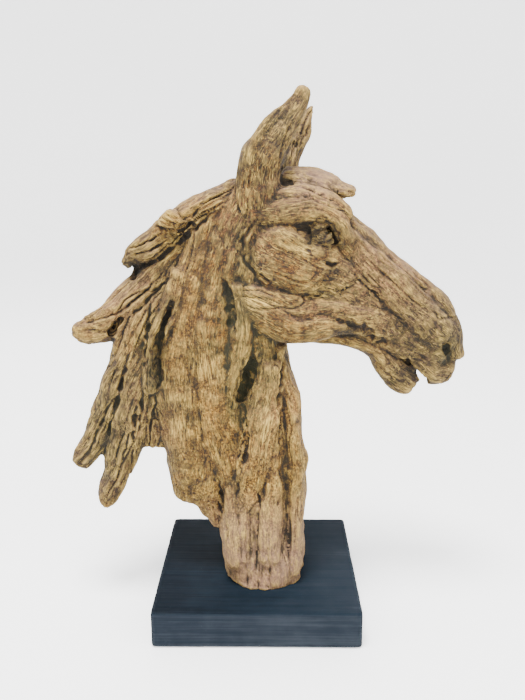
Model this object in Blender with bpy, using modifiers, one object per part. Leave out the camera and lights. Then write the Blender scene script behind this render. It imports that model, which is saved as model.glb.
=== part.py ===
"""A horse's head carved from weathered root, on a dark square wooden plinth.

Metres, +Z up. The origin is the centre of the plinth's underside, and the horse looks along +X.
"""
import math

import bmesh
import bpy
import numpy as np
from mathutils import Matrix

# %% Sizes in metres
PLINTH_LENGTH = 0.300
PLINTH_DEPTH = 0.300
PLINTH_HEIGHT = 0.055
PLINTH_CORNER = 0.006
PLINTH_EDGE = 0.003
FIGURE_HEIGHT = 0.713
SEAT_GAP = 0.0003

# %% The sketch that the carving follows
# Its unit is a share of the carving's own height, and its heights start below the foot.
SKETCH_HEIGHT = 713.0
SKETCH_FOOT = 55.0
SIGHT_X = 16.4
SIGHT_Z = 669.6
SIGHT_DISTANCE = 1113.4
GRID = 3.2
RING_STEP = 4.0
RING_POINTS = 40
FURROW_PITCH = 21.0
FURROW_DEPTH = 6.4
FURROW_SWELL = 0.24
FIGURE_TRIANGLES = 9600

COLLECTION = "horse_head_on_plinth"


# %% Strands: every root limb of the carving is a loft along a smooth path
def smooth_rows(stations, step):
    """Rows of a smooth curve through the stations, evenly spaced along its length."""
    knots = np.array(stations, float)
    chord = np.linalg.norm(np.diff(knots[:, :3], axis=0), axis=1)
    at = np.concatenate([[0.0], np.cumsum(chord)])
    slope = np.gradient(knots, at, axis=0)
    count = max(6, int(at[-1] / step))
    where = np.linspace(0.0, at[-1], count)
    span = np.clip(np.searchsorted(at, where, side="right") - 1, 0, len(at) - 2)
    width = (at[span + 1] - at[span])[:, None]
    t = (where[:, None] - at[span][:, None]) / width
    low = knots[span] * (2 * t**3 - 3 * t**2 + 1) + slope[span] * width * (t**3 - 2 * t**2 + t)
    high = knots[span + 1] * (3 * t**2 - 2 * t**3) + slope[span + 1] * width * (t**3 - t**2)
    return where, low + high


def along_sight(stations):
    """Carry each station's place on the sketch along the line of sight to the station's depth."""
    placed = []
    for x, z, y, wide, deep in stations:
        share = 1.0 + y / SIGHT_DISTANCE
        placed.append((SIGHT_X + (x - SIGHT_X) * share, SIGHT_Z + (z - SIGHT_Z) * share, y, wide, deep))
    return placed


def strand_frames(stations):
    """Centres, directions and half sizes along one strand; a station is x, height, y, wide, deep."""
    where, rows = smooth_rows(stations, RING_STEP)
    centre = rows[:, [0, 2, 1]]
    along = np.gradient(centre, where, axis=0)
    along /= np.linalg.norm(along, axis=1)[:, None]
    across = np.array([0.0, 1.0, 0.0]) - along * along[:, 1:2]
    across /= np.linalg.norm(across, axis=1)[:, None]
    side = np.cross(along, across)
    return where, centre, along, side, across, np.maximum(rows[:, 3], 0.5), np.maximum(rows[:, 4], 0.5)


def strand_rings(frames, power, caps):
    """Closed loft of superellipse rings with rounded ends."""
    where, centre, along, side, across, wide, deep = frames
    length = where[-1]
    shrink = np.ones(len(where))
    for cap, from_end, end in ((caps[0], where, 0), (caps[1], length - where, -1)):
        reach = max(cap * wide[end], RING_STEP)
        inside = np.clip(from_end / reach, 0.0, 1.0)
        shrink *= np.sqrt(np.clip(1.0 - (1.0 - inside) ** 2, 0.02, 1.0))
    angle = np.linspace(0.0, 2 * math.pi, RING_POINTS, endpoint=False)
    cosine = np.sign(np.cos(angle)) * np.abs(np.cos(angle)) ** (2 / power)
    sine = np.sign(np.sin(angle)) * np.abs(np.sin(angle)) ** (2 / power)
    ring = (centre[:, None, :]
            + side[:, None, :] * ((wide * shrink)[:, None] * cosine)[:, :, None]
            + across[:, None, :] * ((deep * shrink)[:, None] * sine)[:, :, None])
    return ring, centre


def grain_places(points, strands):
    """For each point its nearest strand, the distance along it and the distance around it."""
    best = np.full(len(points), 1e9)
    number = np.zeros(len(points), int)
    along_it = np.zeros(len(points))
    around_it = np.zeros(len(points))
    for index, (stations, options) in enumerate(strands):
        where, centre, along, side, across, wide, deep = strand_frames(stations)
        reach = max(wide.max(), deep.max()) + 12.0
        low = centre.min(axis=0) - reach
        high = centre.max(axis=0) + reach
        near = np.nonzero(np.all((points > low) & (points < high), axis=1))[0]
        if len(near) == 0:
            continue
        here = points[near]
        ring = np.argmin(((here[:, None, :] - centre[None, :, :]) ** 2).sum(axis=2), axis=1)
        offset = here - centre[ring]
        u = np.einsum("ij,ij->i", offset, side[ring])
        v = np.einsum("ij,ij->i", offset, across[ring])
        t = np.einsum("ij,ij->i", offset, along[ring])
        power = options["power"]
        level = (np.abs(u / wide[ring]) ** power + np.abs(v / deep[ring]) ** power) ** (1 / power)
        apart = np.hypot((level - 1.0) * np.minimum(wide, deep)[ring], np.maximum(np.abs(t) - RING_STEP, 0.0))
        closer = apart < best[near]
        kept = near[closer]
        best[kept] = apart[closer]
        number[kept] = index
        along_it[kept] = (where[ring] + t)[closer]
        turn = np.arctan2(v / deep[ring], u / wide[ring])
        around_it[kept] = (turn * (wide[ring] + deep[ring]) / 2)[closer]
    return number, along_it, around_it


def carve_furrows(data, strands):
    """Cut long furrows into the skin, each following the root limb under it."""
    count = len(data.vertices)
    points = np.empty(count * 3)
    normals = np.empty(count * 3)
    data.vertices.foreach_get("co", points)
    data.vertices.foreach_get("normal", normals)
    points = points.reshape(-1, 3)
    normals = normals.reshape(-1, 3)
    number, s, q = grain_places(points, strands)
    phase = number * 1.7
    wander = 3.5 * np.sin(s / 46.0 + phase) + 1.6 * np.sin(s / 17.0 + 2 * phase)
    broad = (1.0 - np.abs(np.sin(math.pi * (q + wander) / FURROW_PITCH + phase))) ** 1.4
    narrow = (1.0 - np.abs(np.sin(math.pi * (q - 0.6 * wander) / (0.62 * FURROW_PITCH) - phase))) ** 1.4
    swing = 0.65 + 0.35 * np.sin(s / 33.0 + q / 19.0 + 3 * phase)
    depth = FURROW_DEPTH * swing * (0.8 * broad + 0.4 * narrow - FURROW_SWELL)
    points -= normals * depth[:, None]
    data.vertices.foreach_set("co", points.ravel())
    data.update()


def mirrored(stations, share=1.0):
    """The same strand on the far side, a little thinner or thicker."""
    return [(x, z, -y, w * share, d) for x, z, y, w, d in along_sight(stations)]


def add_strand(mesh, ring, centre):
    """Skin one strand's rings into the bmesh and close both ends."""
    rows = [[mesh.verts.new(point) for point in loop] for loop in ring]
    count = len(rows[0])
    for lower, upper in zip(rows, rows[1:]):
        for i in range(count):
            j = (i + 1) % count
            mesh.faces.new((lower[i], lower[j], upper[j], upper[i]))
    start = mesh.verts.new(centre[0])
    end = mesh.verts.new(centre[-1])
    for i in range(count):
        j = (i + 1) % count
        mesh.faces.new((start, rows[0][j], rows[0][i]))
        mesh.faces.new((end, rows[-1][i], rows[-1][j]))


def strands_to_mesh(name, strands):
    """One mesh in sketch units with every strand of the list in it."""
    mesh = bmesh.new()
    for stations, options in strands:
        ring, centre = strand_rings(strand_frames(stations), **options)
        add_strand(mesh, ring, centre)
    bmesh.ops.recalc_face_normals(mesh, faces=mesh.faces)
    data = bpy.data.meshes.new(name)
    mesh.to_mesh(data)
    mesh.free()
    return data


# %% The carving, limb by limb
def neck_strands():
    """The trunk that rises from the plinth, the nape's broad plate and the limbs laid on them."""
    trunk = [(10, 30, 0, 60, 93), (8, 80, 0, 63, 85), (4, 140, 0, 66, 70), (10, 230, 0, 62, 60),
             (8, 310, 0, 52, 56), (-6, 385, 0, 43, 52), (-10, 470, 0, 46, 50), (-5, 560, 0, 50, 46)]
    nape = [(-90, 159, -4, 40, 32), (-82, 200, -4, 51, 44), (-82, 260, -2, 59, 48),
            (-95, 340, 0, 62, 50), (-92, 420, 0, 54, 50), (-78, 500, 0, 46, 48),
            (-58, 570, 0, 42, 44), (-35, 628, 0, 32, 38)]
    heel_web = [(-60, 116, 0, 12, 30), (-62, 160, 0, 30, 40), (-70, 220, 0, 40, 44)]
    front = [(34, 410, -14, 10, 22), (40, 370, -16, 12, 28), (51, 312, -18, 15, 36),
             (60, 240, -18, 15, 42), (58, 150, -20, 15, 46), (56, 90, -22, 15, 48), (50, 40, -26, 14, 48)]
    laid = [(20, 386, -34, 18, 20), (14, 340, -42, 24, 22), (4, 270, -50, 26, 22),
            (-8, 200, -58, 26, 22), (-14, 142, -66, 24, 16)]
    shin = [(24, 300, -44, 10, 16), (22, 230, -52, 13, 15), (20, 150, -60, 16, 16), (16, 40, -74, 18, 16)]
    heel = [(-32, 180, -46, 18, 18), (-30, 110, -54, 22, 22), (-28, 40, -60, 22, 24)]
    swell = [(-34, 178, -42, 22, 12), (-52, 260, -46, 28, 12), (-60, 340, -46, 30, 12),
             (-66, 430, -44, 28, 12), (-54, 520, -40, 26, 12), (-26, 600, -36, 24, 12), (0, 650, -30, 20, 10)]
    back = [(-104, 166, -32, 26, 10), (-106, 260, -40, 28, 12), (-110, 350, -42, 26, 12),
            (-100, 440, -42, 22, 12), (-78, 530, -36, 20, 12), (-46, 600, -26, 18, 10)]
    throat = [(-30, 500, -44, 11, 12), (-24, 450, -50, 14, 12), (-26, 390, -54, 13, 12),
              (-40, 330, -52, 12, 10)]
    bulk = dict(power=2.7, caps=(0.3, 0.6))
    laid_on = dict(power=2.4, caps=(0.7, 0.9))
    near = [front, laid, shin, heel, swell, back, throat]
    strands = [(trunk, dict(bulk, power=2.3)), (nape, dict(bulk, power=3.4, caps=(0.25, 0.8)))]
    strands += [(heel_web, bulk)]
    strands += [(along_sight(stations), laid_on) for stations in near]
    strands += [(mirrored(stations, 0.95), laid_on) for stations in near if stations is not throat]
    return strands


def head_strands():
    """Skull, nose, brow, cheek and jaw plates, lips and forelock."""
    skull = [(4, 520, 0, 82, 50), (50, 512, 0, 92, 57), (105, 498, 0, 80, 56), (170, 468, 0, 62, 46),
             (230, 432, 0, 54, 40), (272, 412, 0, 44, 36), (290, 404, 0, 36, 30)]
    poll = [(-50, 575, 0, 42, 42), (-10, 594, 0, 46, 48), (40, 596, 0, 40, 54), (90, 584, 0, 33, 50)]
    bridge = [(30, 611, 0, 24, 42), (100, 596, 0, 23, 42), (150, 561, 0, 19, 34),
              (205, 515, 0, 17, 30), (255, 470, 0, 21, 28), (280, 443, 0, 15, 26)]
    brow = [(4, 592, -46, 11, 12), (40, 606, -52, 12, 13), (80, 609, -56, 12, 14),
            (110, 594, -53, 10, 13), (127, 562, -45, 12, 13), (140, 530, -40, 12, 12)]
    fold = [(6, 588, -50, 8, 10), (34, 588, -56, 10, 11), (62, 592, -59, 9, 10), (88, 597, -60, 5, 8)]
    cheek = [(-4, 555, -42, 24, 14), (20, 544, -48, 42, 16), (64, 525, -50, 42, 17),
             (112, 508, -46, 36, 15), (160, 486, -40, 20, 12)]
    jaw = [(-28, 486, -42, 15, 14), (4, 466, -46, 32, 16), (60, 447, -48, 36, 17),
           (120, 450, -44, 26, 16), (170, 440, -38, 24, 14), (214, 424, -34, 18, 12)]
    face = [(128, 556, -42, 16, 14), (160, 520, -38, 24, 16), (206, 478, -34, 27, 16),
            (250, 440, -30, 26, 16), (282, 412, -24, 22, 15)]
    lip = [(196, 422, 0, 25, 36), (236, 397, 0, 29, 34), (268, 374, 0, 27, 30), (287, 382, 0, 18, 24)]
    snout = [(262, 440, 0, 26, 30), (288, 412, 0, 14, 26), (291, 384, 0, 11, 22)]
    chin = [(70, 420, 0, 11, 34), (130, 415, 0, 10, 34), (166, 402, 0, 13, 34), (195, 373, 0, 21, 30),
            (217, 356, 0, 20, 26), (236, 345, 0, 11, 20)]
    forelock = [(30, 652, -2, 12, 24), (62, 647, -6, 15, 30), (96, 638, -8, 17, 28), (122, 630, -8, 12, 22),
                (141, 629, -8, 6, 14)]
    bulk = dict(power=2.5, caps=(0.6, 0.5))
    plate = dict(power=2.5, caps=(0.7, 0.9))
    strands = [(along_sight(stations), bulk) for stations in (skull, poll, bridge, lip, snout, chin, forelock)]
    for stations in (brow, fold, cheek, jaw, face):
        strands += [(along_sight(stations), plate), (mirrored(stations), plate)]
    return strands


def ear_strands():
    """The near ear is a whole leaf, the far ear a split stub behind it."""
    near = [(0, 600, -36, 28, 20), (1, 645, -38, 32, 18), (10, 678, -40, 31, 15), (30, 710, -40, 23, 12),
            (49, 740, -38, 16, 10), (65, 772, -36, 10, 8)]
    rim = [(-14, 640, -50, 10, 8), (-9, 684, -50, 9, 7), (14, 720, -48, 8, 6), (41, 748, -44, 7, 6)]
    far = [(36, 630, 38, 22, 14), (49, 672, 44, 17, 11), (63, 706, 48, 13, 10), (74, 742, 50, 5, 6)]
    chip = [(38, 656, 30, 10, 12), (46, 684, 34, 9, 9), (54, 706, 38, 4, 6)]
    leaf = dict(power=2.2, caps=(0.6, 0.9))
    return [(along_sight(stations), leaf) for stations in (near, rim, far, chip)]


def mane_strands():
    """Locks that fall behind the neck, each a separate root end."""
    upper = [(-14, 634, -10, 24, 30), (-76, 602, -14, 27, 28), (-130, 566, -14, 30, 26),
             (-170, 534, -14, 21, 22), (-197, 519, -12, 10, 14)]
    crest = [(-40, 618, 16, 22, 28), (-90, 588, 16, 24, 28), (-140, 556, 14, 24, 24), (-172, 532, 12, 12, 18)]
    knob = [(-112, 590, -8, 10, 14), (-132, 586, -8, 14, 16), (-148, 570, -8, 8, 12)]
    middle = [(-60, 596, -2, 24, 26), (-115, 540, -4, 32, 30), (-165, 482, -6, 34, 30),
              (-213, 442, -8, 28, 26), (-268, 424, -8, 15, 18)]
    under = [(-70, 570, 24, 24, 22), (-130, 500, 26, 28, 22), (-180, 450, 24, 26, 20), (-224, 420, 20, 14, 16)]
    long_lock = [(-110, 520, -10, 24, 24), (-162, 440, -14, 34, 26), (-198, 370, -16, 30, 24),
                 (-226, 310, -18, 27, 22), (-254, 253, -18, 20, 18), (-283, 214, -18, 11, 13)]
    rear_lock = [(-110, 500, 18, 26, 24), (-158, 420, 20, 30, 24), (-190, 345, 18, 26, 22),
                 (-214, 285, 14, 16, 16)]
    inner = [(-150, 400, -12, 28, 28), (-182, 330, -18, 30, 24), (-203, 260, -20, 28, 22),
             (-219, 202, -20, 19, 19), (-237, 148, -18, 10, 12)]
    finger = [(-108, 520, -36, 14, 14), (-136, 450, -40, 17, 16), (-164, 380, -42, 18, 17),
              (-173, 318, -40, 16, 15)]
    rear = [(-110, 470, 0, 26, 36), (-138, 380, 0, 30, 38), (-154, 300, 0, 30, 36), (-161, 250, 0, 26, 28)]
    stump = [(-176, 470, -20, 12, 14), (-196, 440, -24, 12, 12), (-211, 412, -26, 7, 8)]
    lock = dict(power=2.4, caps=(0.8, 0.7))
    near = (upper, crest, knob, middle, under, long_lock, rear_lock, inner, finger, rear, stump)
    strands = [(along_sight(stations), lock) for stations in near]
    strands += [(mirrored(finger), lock), (mirrored(stump), lock)]
    return strands


def hollow_strands():
    """What is cut away: eye sockets, knots, clefts and the slits between limbs."""
    socket = [(70, 572, -74, 7, 14), (90, 573, -76, 17, 20), (113, 562, -70, 10, 18)]
    lid = [(16, 582, -70, 1.5, 10), (42, 576, -74, 2, 13), (70, 581, -74, 3, 15)]
    knot = [(-2, 408, -66, 6, 30), (-6, 380, -66, 14, 36), (-14, 350, -66, 15, 36), (-22, 325, -66, 9, 30)]
    seam = [(-14, 318, -66, 4, 18), (-17, 270, -72, 4, 16), (-24, 225, -76, 7, 18), (-30, 190, -78, 4, 14)]
    front = [(36, 306, -62, 3, 16), (33, 260, -68, 4, 16), (31, 215, -74, 3, 14), (34, 170, -78, 2, 10)]
    slit = [(-46, 500, -60, 6, 16), (-38, 470, -64, 5, 18), (-42, 440, -64, 5, 16), (-36, 405, -66, 3, 12)]
    under_cheek = [(112, 438, -62, 4, 16), (134, 437, -60, 7, 20), (160, 424, -54, 5, 16),
                   (196, 404, -48, 3, 12), (236, 398, -42, 2, 8)]
    cheek_line = [(-20, 532, -64, 5, 14), (6, 506, -68, 5, 14), (36, 484, -70, 4, 10)]
    nostril = [(285, 436, -34, 4, 12), (284, 412, -36, 7, 16), (280, 390, -34, 4, 12)]
    mouth = [(206, 386, -34, 3, 20), (220, 380, -34, 6, 22), (234, 368, -34, 5, 24)]
    mouth_front = [(228, 376, 0, 3, 60), (243, 362, 0, 5, 60), (251, 340, 0, 9, 60)]
    cleft = [(-112, 502, -58, 4, 20), (-128, 466, -62, 5, 22), (-147, 420, -62, 6, 26),
             (-151, 378, -62, 10, 26), (-149, 330, -60, 4, 18)]
    lock_line = [(-86, 588, -50, 3, 14), (-110, 572, -50, 4, 16), (-136, 540, -50, 4, 16),
                 (-170, 512, -48, 4, 16)]
    ear = [(32, 655, -44, 6, 12), (42, 668, -44, 8, 14), (50, 704, -44, 5, 9), (58, 730, -44, 3, 7)]
    ear_notch = [(0, 651, -60, 3, 8), (24, 651, -60, 3, 9)]
    under_lock = [(32, 644, -40, 3, 20), (62, 632, -42, 3, 18)]
    broken = [(-200, 516, -22, 7, 12), (-178, 528, -24, 8, 12), (-160, 540, -26, 4, 8)]
    groove = [(-268, 436, -28, 3, 8), (-240, 440, -32, 3, 8), (-195, 460, -36, 3, 9), (-165, 490, -38, 3, 9)]
    lower_groove = [(-212, 330, -42, 3, 10), (-226, 310, -42, 3, 10), (-240, 280, -38, 3, 10),
                    (-258, 240, -34, 2, 8)]
    options = dict(power=2.2, caps=(0.9, 0.9))
    sides = [socket, lid, seam, front, slit, under_cheek, cheek_line, nostril, cleft, lock_line, groove, mouth]
    single = [knot, mouth_front, ear, ear_notch, under_lock, broken, lower_groove]
    strands = [(along_sight(stations), options) for stations in sides + single]
    strands += [(mirrored(stations), options) for stations in sides]
    return strands


def knot_strands():
    """Rough lumps left standing in the eye sockets."""
    lumps = [[(74, 569, -52, 10, 9), (98, 569, -53, 12, 10)], [(80, 578, -54, 7, 8), (96, 580, -54, 6, 8)],
             [(84, 562, -57, 7, 7), (104, 566, -56, 8, 7)]]
    options = dict(power=2.0, caps=(0.9, 0.9))
    strands = [(along_sight(stations), options) for stations in lumps]
    strands += [(mirrored(stations), options) for stations in lumps]
    return strands


# %% Blender helpers
def material(name, colour, roughness, metallic):
    """A plain principled material."""
    made = bpy.data.materials.new(name)
    made.use_nodes = True
    shader = made.node_tree.nodes["Principled BSDF"]
    shader.inputs["Base Color"].default_value = (*colour, 1.0)
    shader.inputs["Roughness"].default_value = roughness
    shader.inputs["Metallic"].default_value = metallic
    return made


def evaluated_mesh(item):
    """A plain mesh of the object with its modifiers worked in."""
    graph = bpy.context.evaluated_depsgraph_get()
    return bpy.data.meshes.new_from_object(item.evaluated_get(graph), depsgraph=graph)


def keep_largest_shell(data):
    """Drop the sealed pockets that stay inside a voxel skin."""
    mesh = bmesh.new()
    mesh.from_mesh(data)
    left = set(mesh.verts)
    shells = []
    while left:
        stack = [left.pop()]
        shell = [stack[0]]
        while stack:
            for edge in stack.pop().link_edges:
                for vert in edge.verts:
                    if vert in left:
                        left.remove(vert)
                        shell.append(vert)
                        stack.append(vert)
        shells.append(shell)
    shells.sort(key=len, reverse=True)
    for shell in shells[1:]:
        bmesh.ops.delete(mesh, geom=shell, context="VERTS")
    mesh.to_mesh(data)
    mesh.free()


def remesh(item, size):
    """Voxel skin over everything that overlaps."""
    skin = item.modifiers.new("skin", "REMESH")
    skin.mode = "VOXEL"
    skin.voxel_size = size
    return skin


def cut_flat(data, height):
    """Cut the mesh off level at a height and close the cut with one flat face."""
    mesh = bmesh.new()
    mesh.from_mesh(data)
    everything = mesh.verts[:] + mesh.edges[:] + mesh.faces[:]
    bmesh.ops.bisect_plane(mesh, geom=everything, dist=1e-6, plane_co=(0, 0, height),
                           plane_no=(0, 0, 1), clear_inner=True)
    rim = [edge for edge in mesh.edges if edge.is_boundary]
    bmesh.ops.holes_fill(mesh, edges=rim, sides=0)
    bmesh.ops.recalc_face_normals(mesh, faces=mesh.faces)
    mesh.to_mesh(data)
    mesh.free()


# %% The horse's head
def make_horse_head(parts, cutters):
    """Join the strands under one skin, cut the hollows, thin the mesh and seat it on the plinth."""
    unit = FIGURE_HEIGHT / SKETCH_HEIGHT
    limbs = neck_strands() + head_strands() + ear_strands() + mane_strands()
    rough = bpy.data.objects.new("rough_limbs", strands_to_mesh("rough_limbs", limbs))
    hollows = bpy.data.objects.new("hollows", strands_to_mesh("hollows", hollow_strands()))
    for item in (rough, hollows):
        cutters.objects.link(item)
        item.hide_render = True
        item.display_type = "WIRE"
        remesh(item, GRID / 1.6 if item is hollows else GRID)
    hollows.data = evaluated_mesh(hollows)
    hollows.modifiers.clear()
    cut = rough.modifiers.new("cut_hollows", "BOOLEAN")
    cut.operation = "DIFFERENCE"
    cut.solver = "EXACT"
    cut.object = hollows
    rough.data = evaluated_mesh(rough)
    rough.modifiers.clear()
    joined = bmesh.new()
    joined.from_mesh(rough.data)
    for stations, options in knot_strands():
        add_strand(joined, *strand_rings(strand_frames(stations), **options))
    bmesh.ops.recalc_face_normals(joined, faces=joined.faces)
    joined.to_mesh(rough.data)
    joined.free()
    remesh(rough, GRID)
    rough.data = evaluated_mesh(rough)
    rough.modifiers.clear()
    keep_largest_shell(rough.data)
    carve_furrows(rough.data, limbs)
    thin = rough.modifiers.new("thin", "DECIMATE")
    rough.data.calc_loop_triangles()
    thin.ratio = FIGURE_TRIANGLES / len(rough.data.loop_triangles)
    data = evaluated_mesh(rough)
    cutters.objects.unlink(rough)
    bpy.data.objects.remove(rough)
    cut_flat(data, SKETCH_FOOT)
    data.transform(scaled(unit))
    data.name = "horse_head"
    data.shade_smooth()
    head = bpy.data.objects.new("horse_head", data)
    head.location = (0.0, 0.0, PLINTH_HEIGHT + SEAT_GAP)
    data.materials.clear()
    data.materials.append(material("weathered_root", (0.33, 0.22, 0.125), 0.78, 0.0))
    parts.objects.link(head)
    return head


def scaled(unit):
    """Sketch units to metres, with the foot at zero."""
    return Matrix.Diagonal((unit, unit, unit, 1.0)) @ Matrix.Translation((0.0, 0.0, -SKETCH_FOOT))


# %% The plinth
def make_plinth(parts):
    """A square block with softened corners and edges."""
    bpy.ops.mesh.primitive_cube_add(size=1.0, location=(0.0, 0.0, PLINTH_HEIGHT / 2))
    plinth = bpy.context.object
    plinth.name = "plinth"
    plinth.data.name = "plinth"
    plinth.data.transform(Matrix.Diagonal((PLINTH_LENGTH, PLINTH_DEPTH, PLINTH_HEIGHT, 1.0)))
    for collection in plinth.users_collection:
        collection.objects.unlink(plinth)
    parts.objects.link(plinth)
    weight = plinth.data.attributes.new("bevel_weight_edge", "FLOAT", "EDGE")
    for edge in plinth.data.edges:
        a, b = (plinth.data.vertices[i].co for i in edge.vertices)
        upright = abs(a.z - b.z) > PLINTH_HEIGHT / 2
        weight.data[edge.index].value = 1.0 if upright else PLINTH_EDGE / PLINTH_CORNER
    soft = plinth.modifiers.new("soft_edges", "BEVEL")
    soft.width = PLINTH_CORNER
    soft.segments = 3
    soft.limit_method = "WEIGHT"
    plinth.data.shade_smooth()
    plinth.data.set_sharp_from_angle(angle=math.radians(40))
    plinth.data.materials.append(material("dark_paint", (0.035, 0.045, 0.06), 0.62, 0.0))
    return plinth


def main():
    for item in list(bpy.data.objects):
        bpy.data.objects.remove(item, do_unlink=True)
    parts = bpy.data.collections.new(COLLECTION)
    cutters = bpy.data.collections.new("cutters")
    for collection in (parts, cutters):
        bpy.context.scene.collection.children.link(collection)
    make_plinth(parts)
    make_horse_head(parts, cutters)


main()
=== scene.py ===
# %% [markdown]
# # A horse's head carved from weathered root, on a dark plinth
# The real piece is a carver's puzzle: a block of old root, cut so that its own limbs become
# the jaw, the cheek, the ears and a ragged mane. It stands on a square of painted wood.
# Two things make it look like what it is. The form comes from the limbs, and the finish comes
# from the grain, which runs along every limb and turns with it. So the script keeps both in
# one place: each limb is a smooth path, and each point of the skin knows which limb it is on.

# %% Start from the solid parts
import math

import bmesh
import bpy
import numpy as np
from mathutils import Matrix, Vector


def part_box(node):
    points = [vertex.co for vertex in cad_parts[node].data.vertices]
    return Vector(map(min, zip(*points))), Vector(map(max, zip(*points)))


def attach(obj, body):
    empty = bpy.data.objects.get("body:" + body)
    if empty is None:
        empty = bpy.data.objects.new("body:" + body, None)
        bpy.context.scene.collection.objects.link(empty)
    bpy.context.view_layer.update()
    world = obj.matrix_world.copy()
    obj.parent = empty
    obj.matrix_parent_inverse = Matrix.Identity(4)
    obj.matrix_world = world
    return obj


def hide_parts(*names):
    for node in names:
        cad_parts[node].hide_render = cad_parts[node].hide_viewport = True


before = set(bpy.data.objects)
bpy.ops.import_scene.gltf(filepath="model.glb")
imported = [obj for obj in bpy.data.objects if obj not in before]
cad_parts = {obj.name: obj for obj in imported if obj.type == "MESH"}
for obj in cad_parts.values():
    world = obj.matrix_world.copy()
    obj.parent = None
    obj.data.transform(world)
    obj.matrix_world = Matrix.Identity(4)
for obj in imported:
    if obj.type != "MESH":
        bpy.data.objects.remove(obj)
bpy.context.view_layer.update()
head_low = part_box("horse_head")[0]
plinth_low, plinth_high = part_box("plinth")

# %% [markdown]
# ## The camera
# The photograph was taken from the horse's right, a little above the eye line, with a normal
# lens. The camera comes first, because every later choice is judged through it.

# %% Camera
CAMERA_PLACE = (0.0164, -1.1134, 0.6696)
CAMERA_TILT = 13.68
CAMERA_TURN = 0.48
CAMERA_LENS = 39.75

lens = bpy.data.cameras.new("camera")
lens.lens = CAMERA_LENS
lens.sensor_width = 36.0
camera = bpy.data.objects.new("camera", lens)
camera.location = CAMERA_PLACE
camera.rotation_euler = (math.radians(90.0 - CAMERA_TILT), 0.0, math.radians(CAMERA_TURN))
bpy.context.scene.collection.objects.link(camera)
bpy.context.scene.camera = camera
print("camera", CAMERA_PLACE, "looks down by", CAMERA_TILT, "degrees")

# %% [markdown]
# ## Limbs as lofts
# A root limb is a rounded bar that bends and swells. A curve with a bevel could make one, but
# its section would be the same shape all along. A loft of rings through a few stations lets
# the section change, and the same stations later give every point its place in the grain.
# A station is a place on a sketch of the side view (x, height, depth y) with the limb's half
# width in the side view and its half depth. The sketch is in millimetres.

# %% The sketch
SKETCH_FOOT = 55.0
SIGHT_X = 16.4
SIGHT_Z = 669.6
SIGHT_DISTANCE = 1113.4
RING_STEP = 4.0
RING_POINTS = 48


def along_sight(stations):
    """Carry each station's place on the sketch along the line of sight to the station's depth."""
    placed = []
    for x, z, y, wide, deep in stations:
        share = 1.0 + y / SIGHT_DISTANCE
        placed.append((SIGHT_X + (x - SIGHT_X) * share, SIGHT_Z + (z - SIGHT_Z) * share, y, wide, deep))
    return placed


def mirrored(stations, share=1.0):
    """The same limb on the far side."""
    return [(x, z, -y, w * share, d) for x, z, y, w, d in along_sight(stations)]


print("the tip of the ear, as drawn and as placed:", (65, 772), along_sight([(65, 772, -36, 10, 8)])[0][:2])


# %% Smooth paths and rings
def smooth_rows(stations):
    """Rows of a smooth curve through the stations, evenly spaced along its length."""
    knots = np.array(stations, float)
    chord = np.linalg.norm(np.diff(knots[:, :3], axis=0), axis=1)
    at = np.concatenate([[0.0], np.cumsum(chord)])
    slope = np.gradient(knots, at, axis=0)
    where = np.linspace(0.0, at[-1], max(6, int(at[-1] / RING_STEP)))
    span = np.clip(np.searchsorted(at, where, side="right") - 1, 0, len(at) - 2)
    width = (at[span + 1] - at[span])[:, None]
    t = (where[:, None] - at[span][:, None]) / width
    low = knots[span] * (2 * t**3 - 3 * t**2 + 1) + slope[span] * width * (t**3 - 2 * t**2 + t)
    high = knots[span + 1] * (3 * t**2 - 2 * t**3) + slope[span + 1] * width * (t**3 - t**2)
    return where, low + high


def limb_frames(stations):
    """Centres, directions and half sizes along one limb."""
    where, rows = smooth_rows(stations)
    centre = rows[:, [0, 2, 1]]
    along = np.gradient(centre, where, axis=0)
    along /= np.linalg.norm(along, axis=1)[:, None]
    across = np.array([0.0, 1.0, 0.0]) - along * along[:, 1:2]
    across /= np.linalg.norm(across, axis=1)[:, None]
    side = np.cross(along, across)
    return where, centre, along, side, across, np.maximum(rows[:, 3], 0.5), np.maximum(rows[:, 4], 0.5)


def limb_rings(frames, power, caps):
    """Rings of a rounded section, drawn in towards both ends."""
    where, centre, along, side, across, wide, deep = frames
    shrink = np.ones(len(where))
    for cap, from_end, end in ((caps[0], where, 0), (caps[1], where[-1] - where, -1)):
        reach = max(cap * wide[end], RING_STEP)
        inside = np.clip(from_end / reach, 0.0, 1.0)
        shrink *= np.sqrt(np.clip(1.0 - (1.0 - inside) ** 2, 0.02, 1.0))
    angle = np.linspace(0.0, 2 * math.pi, RING_POINTS, endpoint=False)
    cosine = np.sign(np.cos(angle)) * np.abs(np.cos(angle)) ** (2 / power)
    sine = np.sign(np.sin(angle)) * np.abs(np.sin(angle)) ** (2 / power)
    ring = (centre[:, None, :]
            + side[:, None, :] * ((wide * shrink)[:, None] * cosine)[:, :, None]
            + across[:, None, :] * ((deep * shrink)[:, None] * sine)[:, :, None])
    return ring, centre


print("rows on a straight path of 100 mm:", len(smooth_rows([(0, 0, 0, 9, 9), (100, 0, 0, 5, 5)])[0]))


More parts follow.
